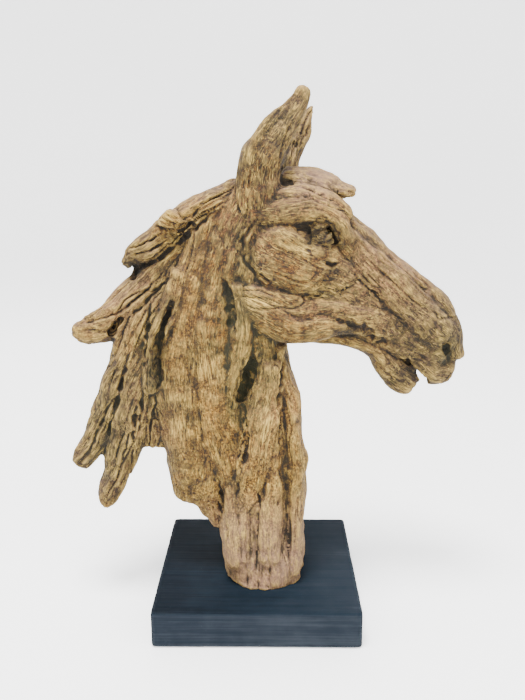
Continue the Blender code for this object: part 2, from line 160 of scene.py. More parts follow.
# %% One mesh from many limbs
def limbs_to_mesh(name, limbs):
    """All the limbs as closed lofts in one mesh."""
    points = []
    faces = []
    for limb in limbs:
        ring, centre = limb_rings(limb_frames(limb["path"]), limb["power"], limb["caps"])
        first = len(points)
        points.extend(ring.reshape(-1, 3))
        points.extend((centre[0], centre[-1]))
        rows = len(ring)
        start = first + rows * RING_POINTS
        for i in range(RING_POINTS):
            j = (i + 1) % RING_POINTS
            faces.append((start, first + j, first + i))
            last = first + (rows - 1) * RING_POINTS
            faces.append((start + 1, last + i, last + j))
            for row in range(rows - 1):
                a = first + row * RING_POINTS
                b = a + RING_POINTS
                faces.append((a + i, a + j, b + j, b + i))
    data = bpy.data.meshes.new(name)
    data.from_pydata([tuple(p) for p in points], [], faces)
    mesh = bmesh.new()
    mesh.from_mesh(data)
    bmesh.ops.recalc_face_normals(mesh, faces=mesh.faces)
    mesh.to_mesh(data)
    mesh.free()
    return data


# %% A limb and its far twin
def limb(path, power=2.4, caps=(0.8, 0.7), rough=1.0, ribbed=0.3, placed=False):
    """One limb: its stations, its section, its ends, and how torn and how ribbed its skin is."""
    stations = path if placed else along_sight(path)
    return {"path": stations, "power": power, "caps": caps, "rough": rough, "ribbed": ribbed}


def twins(path, power=2.4, caps=(0.7, 0.9), rough=1.0, ribbed=0.3, share=1.0):
    """The limb on the near side and the same limb on the far side."""
    near = limb(path, power, caps, rough, ribbed)
    return [near, limb(mirrored(path, share), power, caps, rough, ribbed, placed=True)]


print("what a limb is made of:", list(limb([(0, 100, 0, 9, 9), (0, 200, 0, 5, 5)])))


# %% [markdown]
# ## The neck
# The foot and neck are one thick trunk with a broad plate behind it. Thinner roots were left
# lying over them: one down the throat, one down the shin, two low at the heel. Each is a limb
# of its own, and the skin that is pulled over them all later keeps the valleys between them.

# %% Limbs of the neck
trunk = [(10, 30, 0, 60, 93), (8, 80, 0, 63, 85), (4, 140, 0, 66, 70), (10, 230, 0, 62, 60),
         (8, 310, 0, 52, 56), (-6, 385, 0, 43, 52), (-10, 470, 0, 46, 50), (-5, 560, 0, 50, 46)]
nape = [(-92, 160, -4, 42, 32), (-83, 200, -4, 52, 44), (-82, 260, -2, 59, 48), (-95, 340, 0, 62, 50),
        (-92, 420, 0, 54, 50), (-78, 500, 0, 46, 48), (-58, 570, 0, 42, 44), (-35, 628, 0, 32, 38)]
heel_web = [(-58, 122, 0, 9, 28), (-62, 160, 0, 30, 40), (-70, 220, 0, 40, 44)]
neck_front = [(33, 410, -14, 10, 22), (37, 370, -16, 12, 28), (49, 312, -18, 15, 36),
              (57, 240, -18, 15, 42), (56, 150, -20, 15, 46), (56, 90, -22, 15, 48), (50, 40, -26, 14, 48)]
laid_root = [(20, 386, -34, 18, 20), (14, 340, -42, 24, 22), (4, 270, -50, 26, 22),
             (-6, 212, -54, 25, 20), (-14, 172, -54, 19, 15), (-28, 134, -55, 9, 10)]
shin = [(26, 330, -30, 8, 12), (24, 280, -46, 12, 16), (22, 230, -52, 13, 15), (20, 150, -60, 16, 16),
        (16, 40, -74, 18, 16)]
heel = [(-36, 232, -28, 12, 12), (-32, 180, -44, 18, 18), (-30, 110, -54, 22, 22), (-28, 40, -60, 22, 24)]
nape_swell = [(-34, 178, -42, 22, 12), (-52, 260, -46, 28, 12), (-60, 340, -46, 30, 12),
              (-66, 430, -44, 28, 12), (-54, 520, -40, 26, 12), (-26, 600, -36, 24, 12), (0, 650, -30, 20, 10)]
nape_back = [(-104, 166, -32, 26, 10), (-106, 260, -40, 28, 12), (-110, 350, -42, 26, 12),
             (-100, 440, -42, 22, 12), (-78, 530, -36, 20, 12), (-46, 600, -26, 18, 10)]
throat_root = [(-30, 500, -44, 11, 12), (-24, 450, -50, 14, 12), (-26, 390, -53, 14, 12),
               (-38, 330, -50, 13, 10), (-48, 270, -43, 12, 8)]

neck_limbs = [limb(trunk, 2.3, (0.3, 0.6), 0.7, 0.3, placed=True),
              limb(nape, 3.4, (0.25, 0.8), 0.6, 0.12, placed=True),
              limb(heel_web, 2.7, (0.3, 0.6), 0.9, 0.2, placed=True), limb(throat_root, rough=0.8)]
for path in (neck_front, laid_root, shin, heel):
    neck_limbs += twins(path, rough=0.75, ribbed=0.3, share=0.95)
for path in (nape_swell, nape_back):
    neck_limbs += twins(path, rough=0.6, ribbed=0.12, share=0.95)
print("limbs of the neck:", len(neck_limbs))

# %% [markdown]
# ## The head
# The skull is a loft from the nape to the muzzle. The cheek, the jaw and the side of the face
# are flat plates laid on it, with deep seams between them, and the brow hangs over the eye
# like a thick rind. The lips, the chin and the forelock are loose limbs again. A mirrored
# twin gives each plate on the near side its fellow on the far side.

# %% Limbs of the head
skull = [(4, 520, 0, 82, 50), (50, 512, 0, 92, 57), (105, 498, 0, 80, 56), (170, 468, 0, 62, 46),
         (230, 432, 0, 54, 40), (272, 412, 0, 44, 36), (290, 404, 0, 36, 30)]
poll = [(-50, 575, 0, 42, 42), (-10, 594, 0, 46, 48), (40, 596, 0, 40, 54), (90, 584, 0, 33, 50)]
nose_bridge = [(30, 611, 0, 24, 42), (100, 596, 0, 23, 42), (150, 561, 0, 19, 34),
               (205, 515, 0, 17, 30), (255, 470, 0, 21, 28), (280, 443, 0, 15, 26)]
brow = [(-2, 594, -40, 14, 12), (38, 599, -49, 17, 13), (78, 604, -55, 15, 14),
        (108, 594, -52, 12, 13), (127, 562, -45, 12, 13), (140, 530, -40, 12, 12)]
forehead = [(6, 620, -34, 15, 13), (56, 626, -40, 15, 13), (104, 614, -42, 13, 12), (136, 590, -38, 12, 12)]
cheek = [(-4, 553, -42, 24, 14), (20, 543, -48, 42, 16), (64, 525, -50, 42, 17),
         (108, 510, -45, 34, 15), (150, 490, -35, 18, 12)]
jaw = [(-28, 484, -42, 15, 14), (4, 466, -46, 32, 16), (60, 447, -48, 36, 17),
       (120, 450, -44, 27, 16), (170, 442, -36, 24, 14), (208, 428, -29, 16, 11)]
face_side = [(128, 556, -40, 16, 14), (160, 520, -38, 24, 16), (206, 478, -34, 27, 16),
             (250, 440, -30, 26, 16), (282, 412, -24, 22, 15)]
upper_lip = [(196, 422, 0, 25, 36), (236, 397, 0, 29, 34), (260, 375, 0, 28, 30), (274, 374, 0, 26, 26),
             (293, 370, 0, 17, 20)]
snout = [(262, 442, 0, 27, 30), (281, 435, 0, 18, 26), (286, 408, 0, 13, 25), (290, 386, 0, 15, 22)]
chin = [(70, 424, 0, 10, 34), (130, 419, 0, 9, 34), (166, 405, 0, 12, 34), (195, 374, 0, 21, 30),
        (217, 354, 0, 21, 26), (236, 343, 0, 12, 20)]
forelock = [(30, 650, -6, 15, 26), (62, 645, -8, 17, 30), (96, 638, -8, 17, 28), (122, 630, -8, 12, 22),
            (141, 629, -8, 6, 14)]
face_fill = [(122, 572, -36, 13, 12), (165, 537, -35, 14, 14), (212, 494, -31, 15, 13), (262, 452, -25, 12, 12)]
behind_cheek = [(-12, 596, -34, 15, 14), (-20, 552, -37, 15, 14), (-28, 506, -38, 13, 13)]

bare = (skull, poll, nose_bridge, upper_lip, snout, chin)
head_limbs = [limb(path, 2.5, (0.6, 0.5), 0.75, 0.2) for path in bare]
head_limbs.append(limb(forelock, 2.5, (0.6, 0.5), 1.1, 0.35))
for path in (brow, forehead, cheek, jaw, face_side, face_fill):
    head_limbs += twins(path, 2.5, rough=0.65, ribbed=0.15)
head_limbs += twins(behind_cheek, 2.3, rough=0.8, ribbed=0.15)
print("limbs of the head:", len(head_limbs))

# %% [markdown]
# ## Ears and mane
# The near ear is one long leaf with a rolled rim. The far ear is a split stub. The mane is
# made of loose root ends that fall back and down, each with its own broken tip.

# %% Limbs of the ears and the mane
near_ear = [(2, 560, -24, 26, 20), (0, 604, -34, 29, 20), (1, 645, -38, 32, 18), (9, 678, -40, 29, 15),
            (31, 710, -40, 20, 12), (50, 740, -38, 14, 10), (65, 772, -36, 10, 8)]
ear_rim = [(-15, 640, -50, 10, 8), (-9, 682, -50, 9, 7), (12, 718, -48, 8, 6), (32, 738, -44, 5, 5),
           (46, 754, -40, 3, 4)]
far_ear = [(34, 630, 38, 20, 14), (46, 672, 44, 14, 11), (61, 706, 48, 12, 10), (73, 738, 50, 6, 6),
           (78, 746, 50, 2.5, 3)]
ear_chip = [(38, 656, 30, 10, 12), (46, 684, 34, 9, 9), (54, 706, 38, 4, 6)]
upper_lock = [(-14, 634, -10, 24, 30), (-76, 600, -14, 26, 28), (-118, 575, -14, 24, 26),
              (-150, 553, -14, 20, 22), (-178, 533, -14, 17, 19), (-191, 524, -12, 9, 12)]
torn_ends = [[(-140, 570, -24, 6, 8), (-170, 553, -24, 5, 7), (-190, 545, -20, 3.5, 5)],
             [(-140, 558, -32, 6, 8), (-168, 544, -31, 4.5, 7), (-186, 536, -28, 3, 5)],
             [(-136, 546, -34, 6, 7), (-160, 535, -33, 4.5, 6), (-177, 528, -30, 3, 4)],
             [(-184, 550, -20, 4, 6), (-188, 537, -24, 4.5, 6), (-196, 524, -21, 3, 4)]]
crest = [(-40, 613, 16, 22, 28), (-90, 583, 16, 24, 28), (-140, 556, 14, 24, 24), (-172, 532, 12, 12, 18)]
knob = [(-98, 570, -22, 14, 16), (-116, 582, -30, 16, 17), (-131, 592, -36, 15, 15), (-139, 596, -37, 12, 12)]
middle_lock = [(-60, 596, -2, 24, 26), (-115, 540, -4, 32, 30), (-165, 482, -6, 34, 30),
               (-213, 442, -8, 28, 26), (-262, 428, -8, 16, 18), (-274, 431, -8, 9, 11)]
under_lock = [(-70, 570, 24, 24, 22), (-130, 500, 26, 28, 22), (-180, 450, 24, 26, 20), (-224, 420, 20, 14, 16)]
long_lock = [(-110, 520, -10, 24, 24), (-160, 440, -14, 34, 26), (-194, 370, -16, 29, 24),
             (-222, 310, -18, 26, 22), (-250, 253, -18, 21, 18), (-268, 227, -18, 17, 15),
             (-277, 215, -18, 13, 12)]
rear_lock = [(-110, 500, 18, 26, 24), (-158, 420, 20, 30, 24), (-190, 345, 18, 26, 22), (-214, 285, 14, 16, 16)]
inner_lock = [(-150, 400, -12, 28, 28), (-182, 330, -18, 30, 24), (-203, 260, -20, 28, 22),
              (-220, 202, -20, 20, 19), (-237, 156, -18, 12, 12), (-241, 146, -18, 6, 8)]
finger = [(-108, 520, -36, 14, 14), (-133, 450, -40, 15, 15), (-156, 390, -42, 13, 15),
          (-159, 344, -42, 11, 13), (-160, 330, -41, 8, 9)]
mane_root = [(-110, 470, 0, 26, 36), (-138, 380, 0, 30, 38), (-154, 300, 0, 30, 36), (-161, 250, 0, 26, 28)]
stump = [(-176, 470, -20, 12, 14), (-196, 440, -24, 12, 12), (-211, 412, -26, 7, 8)]

ear_limbs = [limb(path, 2.2, (0.6, 0.9), 0.6, 0.2) for path in (near_ear, ear_rim)]
ear_limbs += [limb(path, 2.2, (0.6, 0.9), 1.1, 0.4) for path in (far_ear, ear_chip)]
locks = (upper_lock, crest, knob, middle_lock, under_lock, long_lock, rear_lock, inner_lock, mane_root)
mane_limbs = [limb(path, 2.7, (0.8, 0.4), 1.1, 0.4) for path in locks]
mane_limbs += [limb(path, 2.2, (0.8, 0.4), 0.6, 0.0) for path in torn_ends]
mane_limbs += twins(finger, 2.6, (0.8, 0.5), 1.0) + twins(stump, caps=(0.8, 0.7), rough=1.1)
limbs = neck_limbs + head_limbs + ear_limbs + mane_limbs
print("all limbs:", len(limbs))

# %% [markdown]
# ## What is cut away
# Eye sockets, knots, clefts and the slits between limbs are cut out of the joined limbs. They
# are thin limbs too, so one kind of table describes what is there and what is not. The
# cutters stay narrow, because a wide cut with clean walls looks like a hole in a pipe: the
# soft groove around each of them is carved later. In the eyes of the real head the carver
# left knotted wood, so a few lumps go back into each socket.

# %% Hollows
socket = [(70, 572, -74, 7, 14), (90, 573, -76, 17, 20), (113, 562, -70, 10, 18)]
lid_line = [(16, 582, -70, 1.5, 10), (42, 576, -74, 2, 13), (70, 581, -74, 3, 15)]
throat_knot = [(-2, 392, -64, 3, 12), (-9, 374, -62, 8, 15), (-17, 350, -58, 11, 20), (-24, 330, -56, 9, 20),
               (-28, 312, -58, 4, 14)]
neck_seam = [(-27, 304, -66, 3, 16), (-18, 268, -72, 3, 14), (-22, 225, -76, 5, 16), (-29, 186, -78, 3, 13)]
front_cleft = [(37, 312, -62, 2, 13), (34, 266, -67, 3.5, 14), (31, 222, -73, 2, 12)]
neck_slit = [(-50, 503, -59, 2, 8), (-46, 492, -60, 4, 10), (-41, 472, -62, 2.5, 10), (-38, 444, -62, 5, 12),
             (-35, 420, -64, 2, 8)]
under_cheek = [(110, 445, -64, 2, 7), (126, 441, -64, 3.5, 8), (142, 434, -61, 2.5, 7), (156, 427, -56, 2, 6)]
cheek_line = [(-20, 532, -64, 5, 14), (6, 506, -68, 5, 14), (36, 484, -70, 4, 10)]
nostril = [(277, 408, -38, 3, 6), (282, 396, -36, 4, 6), (286, 385, -28, 3, 7)]
mouth = [(206, 386, -34, 3, 20), (220, 380, -34, 6, 22), (234, 368, -34, 5, 24)]
mouth_front = [(228, 376, 0, 3, 60), (242, 362, 0, 4.5, 60), (249, 340, 0, 8, 60)]
lock_cleft = [(-123, 474, -62, 3, 16), (-133, 450, -62, 5, 20), (-146, 420, -62, 6, 24),
              (-151, 378, -62, 10, 26), (-149, 330, -60, 4, 18)]
lock_line = [(-86, 588, -50, 3, 14), (-110, 572, -50, 4, 16), (-136, 540, -50, 4, 16), (-170, 512, -48, 4, 16)]
ear_hollow = [(33, 652, -54, 3, 8), (42, 668, -56, 6, 10), (49, 690, -56, 3, 8)]
broken_end = [(-186, 507, -20, 8, 18), (-178, 519, -27, 9, 16), (-164, 524, -32, 4, 11), (-146, 532, -36, 2, 8)]
lock_notch = [(-197, 450, -34, 2.5, 12), (-208, 438, -28, 4, 16), (-218, 422, -20, 5, 24)]

both_sides = (socket, lid_line, neck_seam, front_cleft, neck_slit, under_cheek, cheek_line, nostril,
              lock_cleft, lock_line, lock_notch, mouth)
near_side = (throat_knot, mouth_front, ear_hollow, broken_end)
hollows = [limb(path, 2.2, (0.9, 0.9)) for path in near_side]
for path in both_sides:
    hollows += twins(path, 2.2, (0.9, 0.9))

EYE_X, EYE_Z = 90, 570
eye_lumps = [[(74, 567, -52, 10, 9), (100, 569, -53, 12, 10)], [(84, 589, -51, 5, 7), (104, 582, -50, 6, 7)]]
for wide, high, depth, start in ((24, 15, -54, 0.1), (22, 15, -55, 1.2), (15, 10, -60, 0.3),
                                 (15, 10, -60, 1.4)):
    arc = [(start + step * 0.16) * math.pi for step in range(5)]
    eye_lumps.append([(EYE_X + wide * math.cos(turn), EYE_Z + high * math.sin(turn), depth, 2.0, 4.5)
                      for turn in arc])
lumps = []
for path in eye_lumps:
    lumps += twins(path, 2.0, (0.9, 0.9))
print("hollows:", len(hollows), "rough lumps left in the eyes:", len(lumps))

# %% [markdown]
# ## Noise that is the same in every run
# Blender has noise of its own, but asking for it point by point is slow. This is the same
# idea on whole arrays: random heights on a lattice, with a smooth blend between them.

# %% Noise on arrays
SCATTER = np.array([374761393, 668265263, 144665])
SCATTER_SEED = 97463
SCRAMBLES = ((13, 1274126177), (15, 739982445))
LOW_BITS = 0xFFFFFFFF


def noise(places, seed):
    """Smooth random heights between -1 and 1."""
    cell = np.floor(places).astype(np.int64)
    part = places - cell
    part = part * part * (3.0 - 2.0 * part)
    total = np.zeros(len(places))
    for corner in range(8):
        step = np.array([(corner >> axis) & 1 for axis in range(3)])
        mixed = ((cell + step) @ SCATTER + seed * SCATTER_SEED) & LOW_BITS
        for shift, factor in SCRAMBLES:
            mixed = ((mixed ^ (mixed >> shift)) * factor) & LOW_BITS
        height = ((mixed ^ (mixed >> 16)) & 0xFFFF) / 32767.5 - 1.0
        total += height * np.prod(np.where(step, part, 1.0 - part), axis=1)
    return total


print("noise at a place, twice:", *(round(float(noise(np.array([[0.3, 0.5, 0.7]]), 1)[0]), 4) for _ in range(2)))


# %% [markdown]
# ## One skin
# A voxel remesh pulls a single skin over everything that overlaps, which is the state of the
# real block: there are no joints inside it. A boolean would join the limbs too, but it would
# leave their smooth sides meeting in knife lines. The hollows are cut with a boolean, because
# their edges should be crisp, and then a second remesh evens out the points for the carving.

# %% A mesh with its modifiers worked in
def worked_mesh(item):
    """The object's mesh with its modifiers worked in."""
    graph = bpy.context.evaluated_depsgraph_get()
    data = bpy.data.meshes.new_from_object(item.evaluated_get(graph), depsgraph=graph)
    item.modifiers.clear()
    return data


def pull_skin(item, step):
    """Replace the mesh by one even skin around it."""
    skin = item.modifiers.new("skin", "REMESH")
    skin.mode = "VOXEL"
    skin.voxel_size = step
    item.data = worked_mesh(item)


def read_points(data):
    """The mesh's points and outward directions as arrays."""
    points = np.empty(len(data.vertices) * 3)
    outward = np.empty(len(data.vertices) * 3)
    data.vertices.foreach_get("co", points)
    data.vertices.foreach_get("normal", outward)
    return points.reshape(-1, 3), outward.reshape(-1, 3)


# %% Points that drift, melt or wobble
def drift(data, values, times):
    """Each point takes on the mean of its neighbours, so many times over."""
    edges = np.empty(len(data.edges) * 2, int)
    data.edges.foreach_get("vertices", edges)
    edges = edges.reshape(-1, 2)
    neighbours = np.maximum(np.bincount(edges.ravel(), minlength=len(values)), 1).astype(float)
    values = np.atleast_2d(values.T).T.astype(float)
    for _ in range(times):
        moved = np.empty_like(values)
        for axis in range(values.shape[1]):
            column = values[:, axis]
            moved[:, axis] = (np.bincount(edges[:, 0], column[edges[:, 1]], len(column))
                              + np.bincount(edges[:, 1], column[edges[:, 0]], len(column))) / neighbours
        values = 0.3 * values + 0.7 * moved
    return values


def melt(item, times):
    """Soften the creases where limbs meet."""
    points = read_points(item.data)[0]
    item.data.vertices.foreach_set("co", drift(item.data, points, times).ravel())
    item.data.update()


def roughen(item, reach, size, seed):
    """Push the points about by up to reach, in waves of that size, so that edges look torn."""
    points = read_points(item.data)[0]
    shift = np.stack([noise(points / size, seed + axis) for axis in range(3)], axis=1)
    shift += 0.5 * np.stack([noise(points / (size * 0.4), seed + 3 + axis) for axis in range(3)], axis=1)
    points = points + shift * reach
    item.data.vertices.foreach_set("co", points.ravel())
    item.data.update()


# %% Sealed pockets
def largest_shell(data):
    """Drop the pockets that stay sealed inside the skin."""
    edges = np.empty(len(data.edges) * 2, int)
    data.edges.foreach_get("vertices", edges)
    edges = edges.reshape(-1, 2)
    group = np.arange(len(data.vertices))
    while True:
        low = np.minimum(group[edges[:, 0]], group[edges[:, 1]])
        before = group.copy()
        np.minimum.at(group, edges[:, 0], low)
        np.minimum.at(group, edges[:, 1], low)
        group = group[group]
        if np.array_equal(before, group):
            break
    keep = np.bincount(group).argmax()
    mesh = bmesh.new()
    mesh.from_mesh(data)
    mesh.verts.ensure_lookup_table()
    loose = [mesh.verts[i] for i in np.nonzero(group != keep)[0]]
    bmesh.ops.delete(mesh, geom=loose, context="VERTS")
    mesh.to_mesh(data)
    mesh.free()
    print("points in sealed pockets:", int((group != keep).sum()))


# %% Pull the skin over the limbs and cut the hollows
SKIN_STEP = 2.0
CREASES_MELT = 4
HEAD_WOBBLE = (2.6, 34.0)
HOLLOW_WOBBLE = (3.4, 11.0)

workshop = bpy.data.collections.new("workshop")
bpy.context.scene.collection.children.link(workshop)
head = bpy.data.objects.new("carved_head", limbs_to_mesh("carved_head", limbs))
cutter = bpy.data.objects.new("hollows", limbs_to_mesh("hollows", hollows))
for item in (head, cutter):
    workshop.objects.link(item)
    pull_skin(item, SKIN_STEP)
melt(head, CREASES_MELT)
roughen(head, *HEAD_WOBBLE, 51)
roughen(cutter, *HOLLOW_WOBBLE, 71)
cut = head.modifiers.new("cut", "BOOLEAN")
cut.operation = "DIFFERENCE"
cut.solver = "MANIFOLD"
cut.object = cutter
head.data = worked_mesh(head)
lump_data = limbs_to_mesh("lumps", lumps)
joined = bmesh.new()
joined.from_mesh(head.data)
joined.from_mesh(lump_data)
joined.to_mesh(head.data)
joined.free()
pull_skin(head, SKIN_STEP)
melt(head, 1)
largest_shell(head.data)
bpy.data.objects.remove(cutter)
print("skin points:", len(head.data.vertices))

# %% [markdown]
# ## Where each point lies in the grain
# Wood splits along its fibres, so cracks, ridges and colour streaks must run along each limb.
# Every point of the skin looks for the limb it lies on, and gets its place in that limb: how
# far along it is, and where across its section. Noise that is stretched along the first of
# these becomes grain, on the mesh now and in the finish later.

# %% Find the grain
POINTS_AT_ONCE = 20000


def grain_places(points, limbs):
    """Each point's limb, how far along it lies, its two places across, and its turn around."""
    count = len(points)
    best = np.full(count, 1e9)
    found = {name: np.zeros(count) for name in ("along", "u", "v", "turn")}
    number = np.zeros(count, int)
    for index, one in enumerate(limbs):
        where, centre, along, side, across, wide, deep = limb_frames(one["path"])
        reach = max(wide.max(), deep.max()) + 12.0
        low = centre.min(axis=0) - reach
        high = centre.max(axis=0) + reach
        near = np.nonzero(np.all((points > low) & (points < high), axis=1))[0]
        for part in np.array_split(near, len(near) // POINTS_AT_ONCE + 1):
            if len(part) == 0:
                continue
            here = points[part]
            away = (here**2).sum(axis=1)[:, None] - 2.0 * here @ centre.T + (centre**2).sum(axis=1)
            ring = np.argmin(away, axis=1)
            offset = here - centre[ring]
            u = np.einsum("ij,ij->i", offset, side[ring])
            v = np.einsum("ij,ij->i", offset, across[ring])
            t = np.einsum("ij,ij->i", offset, along[ring])
            power = one["power"]
            level = (np.abs(u / wide[ring]) ** power + np.abs(v / deep[ring]) ** power) ** (1 / power)
            apart = np.hypot((level - 1.0) * np.minimum(wide, deep)[ring],
                             np.maximum(np.abs(t) - RING_STEP, 0.0))
            closer = apart < best[part]
            kept = part[closer]
            best[kept] = apart[closer]
            number[kept] = index
            found["along"][kept] = (where[ring] + t)[closer]
            found["u"][kept] = u[closer]
            found["v"][kept] = v[closer]
            turn = np.arctan2(v / deep[ring], u / wide[ring]) * (wide[ring] + deep[ring]) / 2
            found["turn"][kept] = turn[closer]
    return number, found


points, outward = read_points(head.data)
number, grain = grain_places(points, limbs)
print("limbs that show on the skin:", len(np.unique(number)))

# %% Noise in the grain
def swayed(points):
    """How far the fibres wander sideways at each point."""
    return 5.0 * noise(points / 45.0, 8)


sway = swayed(points)


def stretched(across, along, seed):
    """Noise in the grain: so many millimetres across a fibre and so many along it."""
    places = np.stack([(grain["u"] + sway) / across, (grain["v"] - sway) / across, grain["along"] / along],
                      axis=1)
    return noise(places + (number * 7.31)[:, None] + 0.37, seed)


def cracks(across, along, seed, width):
    """Thin lines along the grain, 1 in the middle of a crack and 0 between cracks."""
    return np.clip(1.0 - np.abs(stretched(across, along, seed)) / width, 0.0, 1.0)


print("mean of the cracks:", round(float(cracks(15.0, 120.0, 21, 0.16).mean()), 3))

# %% [markdown]
# ## Carving the skin
# The carving is a sum of layers. First come the broad furrows that the solid part has as
# well, then lumps, because a root is never a clean bar. Then come the cracks that the eye
# looks for, each along its own line on the sketch, a few torn and knotty patches, chance
# cracks along the grain, and last the ridges and splinters of torn fibre. Each layer moves
# the points in or out along their own direction.

# %% Broad furrows
FURROW_PITCH = 21.0
FURROW_DEPTH = 6.4
FURROW_SWELL = 0.24


def furrows(number, s, q):
    """How deep the long furrows are."""
    phase = number * 1.7
    wander = 3.5 * np.sin(s / 46.0 + phase) + 1.6 * np.sin(s / 17.0 + 2 * phase)
    broad = (1.0 - np.abs(np.sin(math.pi * (q + wander) / FURROW_PITCH + phase))) ** 1.4
    narrow = (1.0 - np.abs(np.sin(math.pi * (q - 0.6 * wander) / (0.62 * FURROW_PITCH) - phase))) ** 1.4
    swing = 0.65 + 0.35 * np.sin(s / 33.0 + q / 19.0 + 3 * phase)
    return FURROW_DEPTH * swing * (0.8 * broad + 0.4 * narrow - FURROW_SWELL)


# %% Cracks in known places
KNOWN_CRACKS = {
    "over the brow": ([(40, 612), (77, 620), (103, 610), (124, 600), (140, 582)], -50, 1.8, 2.2),
    "pit under the eye": ([(96, 529), (107, 524), (118, 528)], -60, 4.5, 5.0),
    "jaw, upper": ([(-32, 489), (0, 487), (30, 480)], -56, 1.4, 1.8),
    "jaw, middle": ([(-34, 481), (-8, 478), (20, 475)], -56, 1.4, 1.8),
    "jaw, lower": ([(-22, 466), (0, 460), (25, 462), (48, 465)], -60, 2.4, 2.6),
    "along the jaw": ([(43, 450), (69, 447), (99, 450), (131, 452)], -62, 8.0, 3.0),
    "below the cheek": ([(31, 486), (54, 483), (76, 481), (98, 483), (121, 489)], -62, 5.0, 1.6),
    "side of the face": ([(130, 520), (150, 500), (172, 480), (190, 465)], -50, 1.8, 1.4),
    "far ear, first": ([(50, 680), (58, 702), (70, 730)], 40, 2.6, 4.5),
    "far ear, second": ([(58, 690), (68, 710), (76, 726)], 40, 2.0, 3.5),
    "far ear, edge": ([(44, 668), (50, 690), (58, 714)], 40, 2.0, 3.5),
    "front of the ear": ([(30, 672), (38, 700), (52, 728)], -54, 2.2, 2.0),
    "around the throat knot": ([(4, 408), (-8, 380), (-16, 352), (-25, 318)], -58, 16, 7),
    "under the cheek": ([(100, 450), (124, 443), (144, 435), (162, 425), (182, 408), (214, 400)], -54, 9, 6),
    "behind the jaw": ([(-50, 506), (-42, 474), (-38, 440), (-32, 405)], -54, 9, 6),
    "below the forelock": ([(34, 646), (54, 639), (84, 627), (114, 614)], -44, 3.5, 3.5),
    "round the nostril": ([(274, 416), (281, 398), (288, 380)], -34, 8, 4),
    "behind the finger": ([(-112, 500), (-128, 464), (-145, 420), (-149, 370)], -54, 8, 4),
    "round the eye": ([(68, 590), (92, 594), (110, 582), (117, 560), (104, 548)], -58, 4, 3),
    "between the long locks": ([(-190, 396), (-203, 351), (-212, 318), (-224, 285), (-231, 258)], -36, 5, 9),
    "left of the finger": ([(-158, 472), (-164, 423), (-167, 378), (-165, 337)], -46, 5, 8),
    "right of the lock": ([(-170, 340), (-178, 294), (-182, 262)], -42, 4, 6),
    "under the middle lock": ([(-194, 440), (-169, 465), (-143, 492), (-120, 512)], -40, 4, 6),
    "above the middle lock": ([(-172, 517), (-140, 534), (-107, 562), (-82, 583), (-56, 606)], -38, 4.5, 7),
    "under the knob": ([(-150, 582), (-128, 574), (-106, 572)], -42, 4, 5),
    "left of the laid root": ([(-27, 320), (-18, 296), (-24, 253), (-28, 217), (-34, 162)], -58, 5, 7),
    "right of the laid root": ([(44, 400), (36, 347), (32, 290)], -58, 4, 6),
    "behind the cheek": ([(-6, 585), (-22, 560), (-18, 530), (0, 508)], -45, 5, 5),
    "beside the foot": ([(-61, 203), (-53, 146), (-43, 100)], -40, 4, 5),
    "end of the muzzle": ([(252, 462), (265, 448), (291, 445)], -36, 2.2, 2.4),
    "middle lock": ([(-131, 519), (-149, 501), (-170, 481), (-187, 467), (-204, 454), (-224, 447), (-250, 440),
                     (-266, 436)], -34, 2.8, 5.0),
    "middle lock, short": ([(-138, 488), (-145, 482), (-155, 469)], -38, 2.2, 3.0),
    "knob, first": ([(-142, 604), (-126, 596), (-108, 590)], -44, 1.8, 2.6),
    "knob, second": ([(-140, 592), (-124, 586), (-108, 580)], -46, 1.8, 2.6),
    "long lock, side": ([(-196, 372), (-214, 326), (-234, 276), (-252, 236)], -40, 2.2, 3.0),
    "inner lock": ([(-184, 300), (-200, 250), (-214, 206), (-230, 168)], -40, 2.2, 3.0),
    "inner lock, side": ([(-196, 290), (-214, 240), (-226, 200)], -40, 1.8, 2.4),
    "long lock": ([(-212, 330), (-225, 310), (-240, 280), (-255, 245), (-262, 228)], -38, 4.0, 6.0),
    "upper lock, first": ([(-190, 546), (-160, 557), (-132, 572)], -30, 2.0, 4.2),
    "upper lock, second": ([(-186, 537), (-155, 546), (-126, 562)], -36, 2.2, 4.6),
    "upper lock, third": ([(-176, 528), (-152, 534), (-130, 550), (-104, 574)], -38, 2.4, 4.4),
    "upper lock, fourth": ([(-120, 566), (-92, 586), (-60, 606), (-34, 620)], -38, 2.0, 3.8),
    "upper lock, fifth": ([(-104, 582), (-76, 600), (-44, 616)], -40, 1.8, 3.4),
    "upper lock, top": ([(-94, 604), (-64, 620), (-36, 632)], -34, 1.8, 3.0),
    "under the finger": ([(-181, 314), (-185, 290), (-190, 258)], -36, 5.5, 9.0),
    "side of the plate": ([(-152, 330), (-158, 300), (-166, 268)], -40, 3.0, 3.0),
    "slit in the foot": ([(1, 168), (2, 152), (4, 134)], -76, 2.2, 2.6),
    "second slit": ([(30, 158), (31, 144)], -76, 2.2, 3.0),
}

flat = points[:, [0, 2]] + 1.6 * np.stack([noise(points / 7.0, 81), noise(points / 7.0, 82)], axis=1)
breaks = np.clip(0.8 + 0.7 * noise(points / 9.0, 83), 0.2, 1.0)
sideways = np.clip((np.abs(outward[:, 1]) - 0.15) / 0.3, 0.0, 1.0)


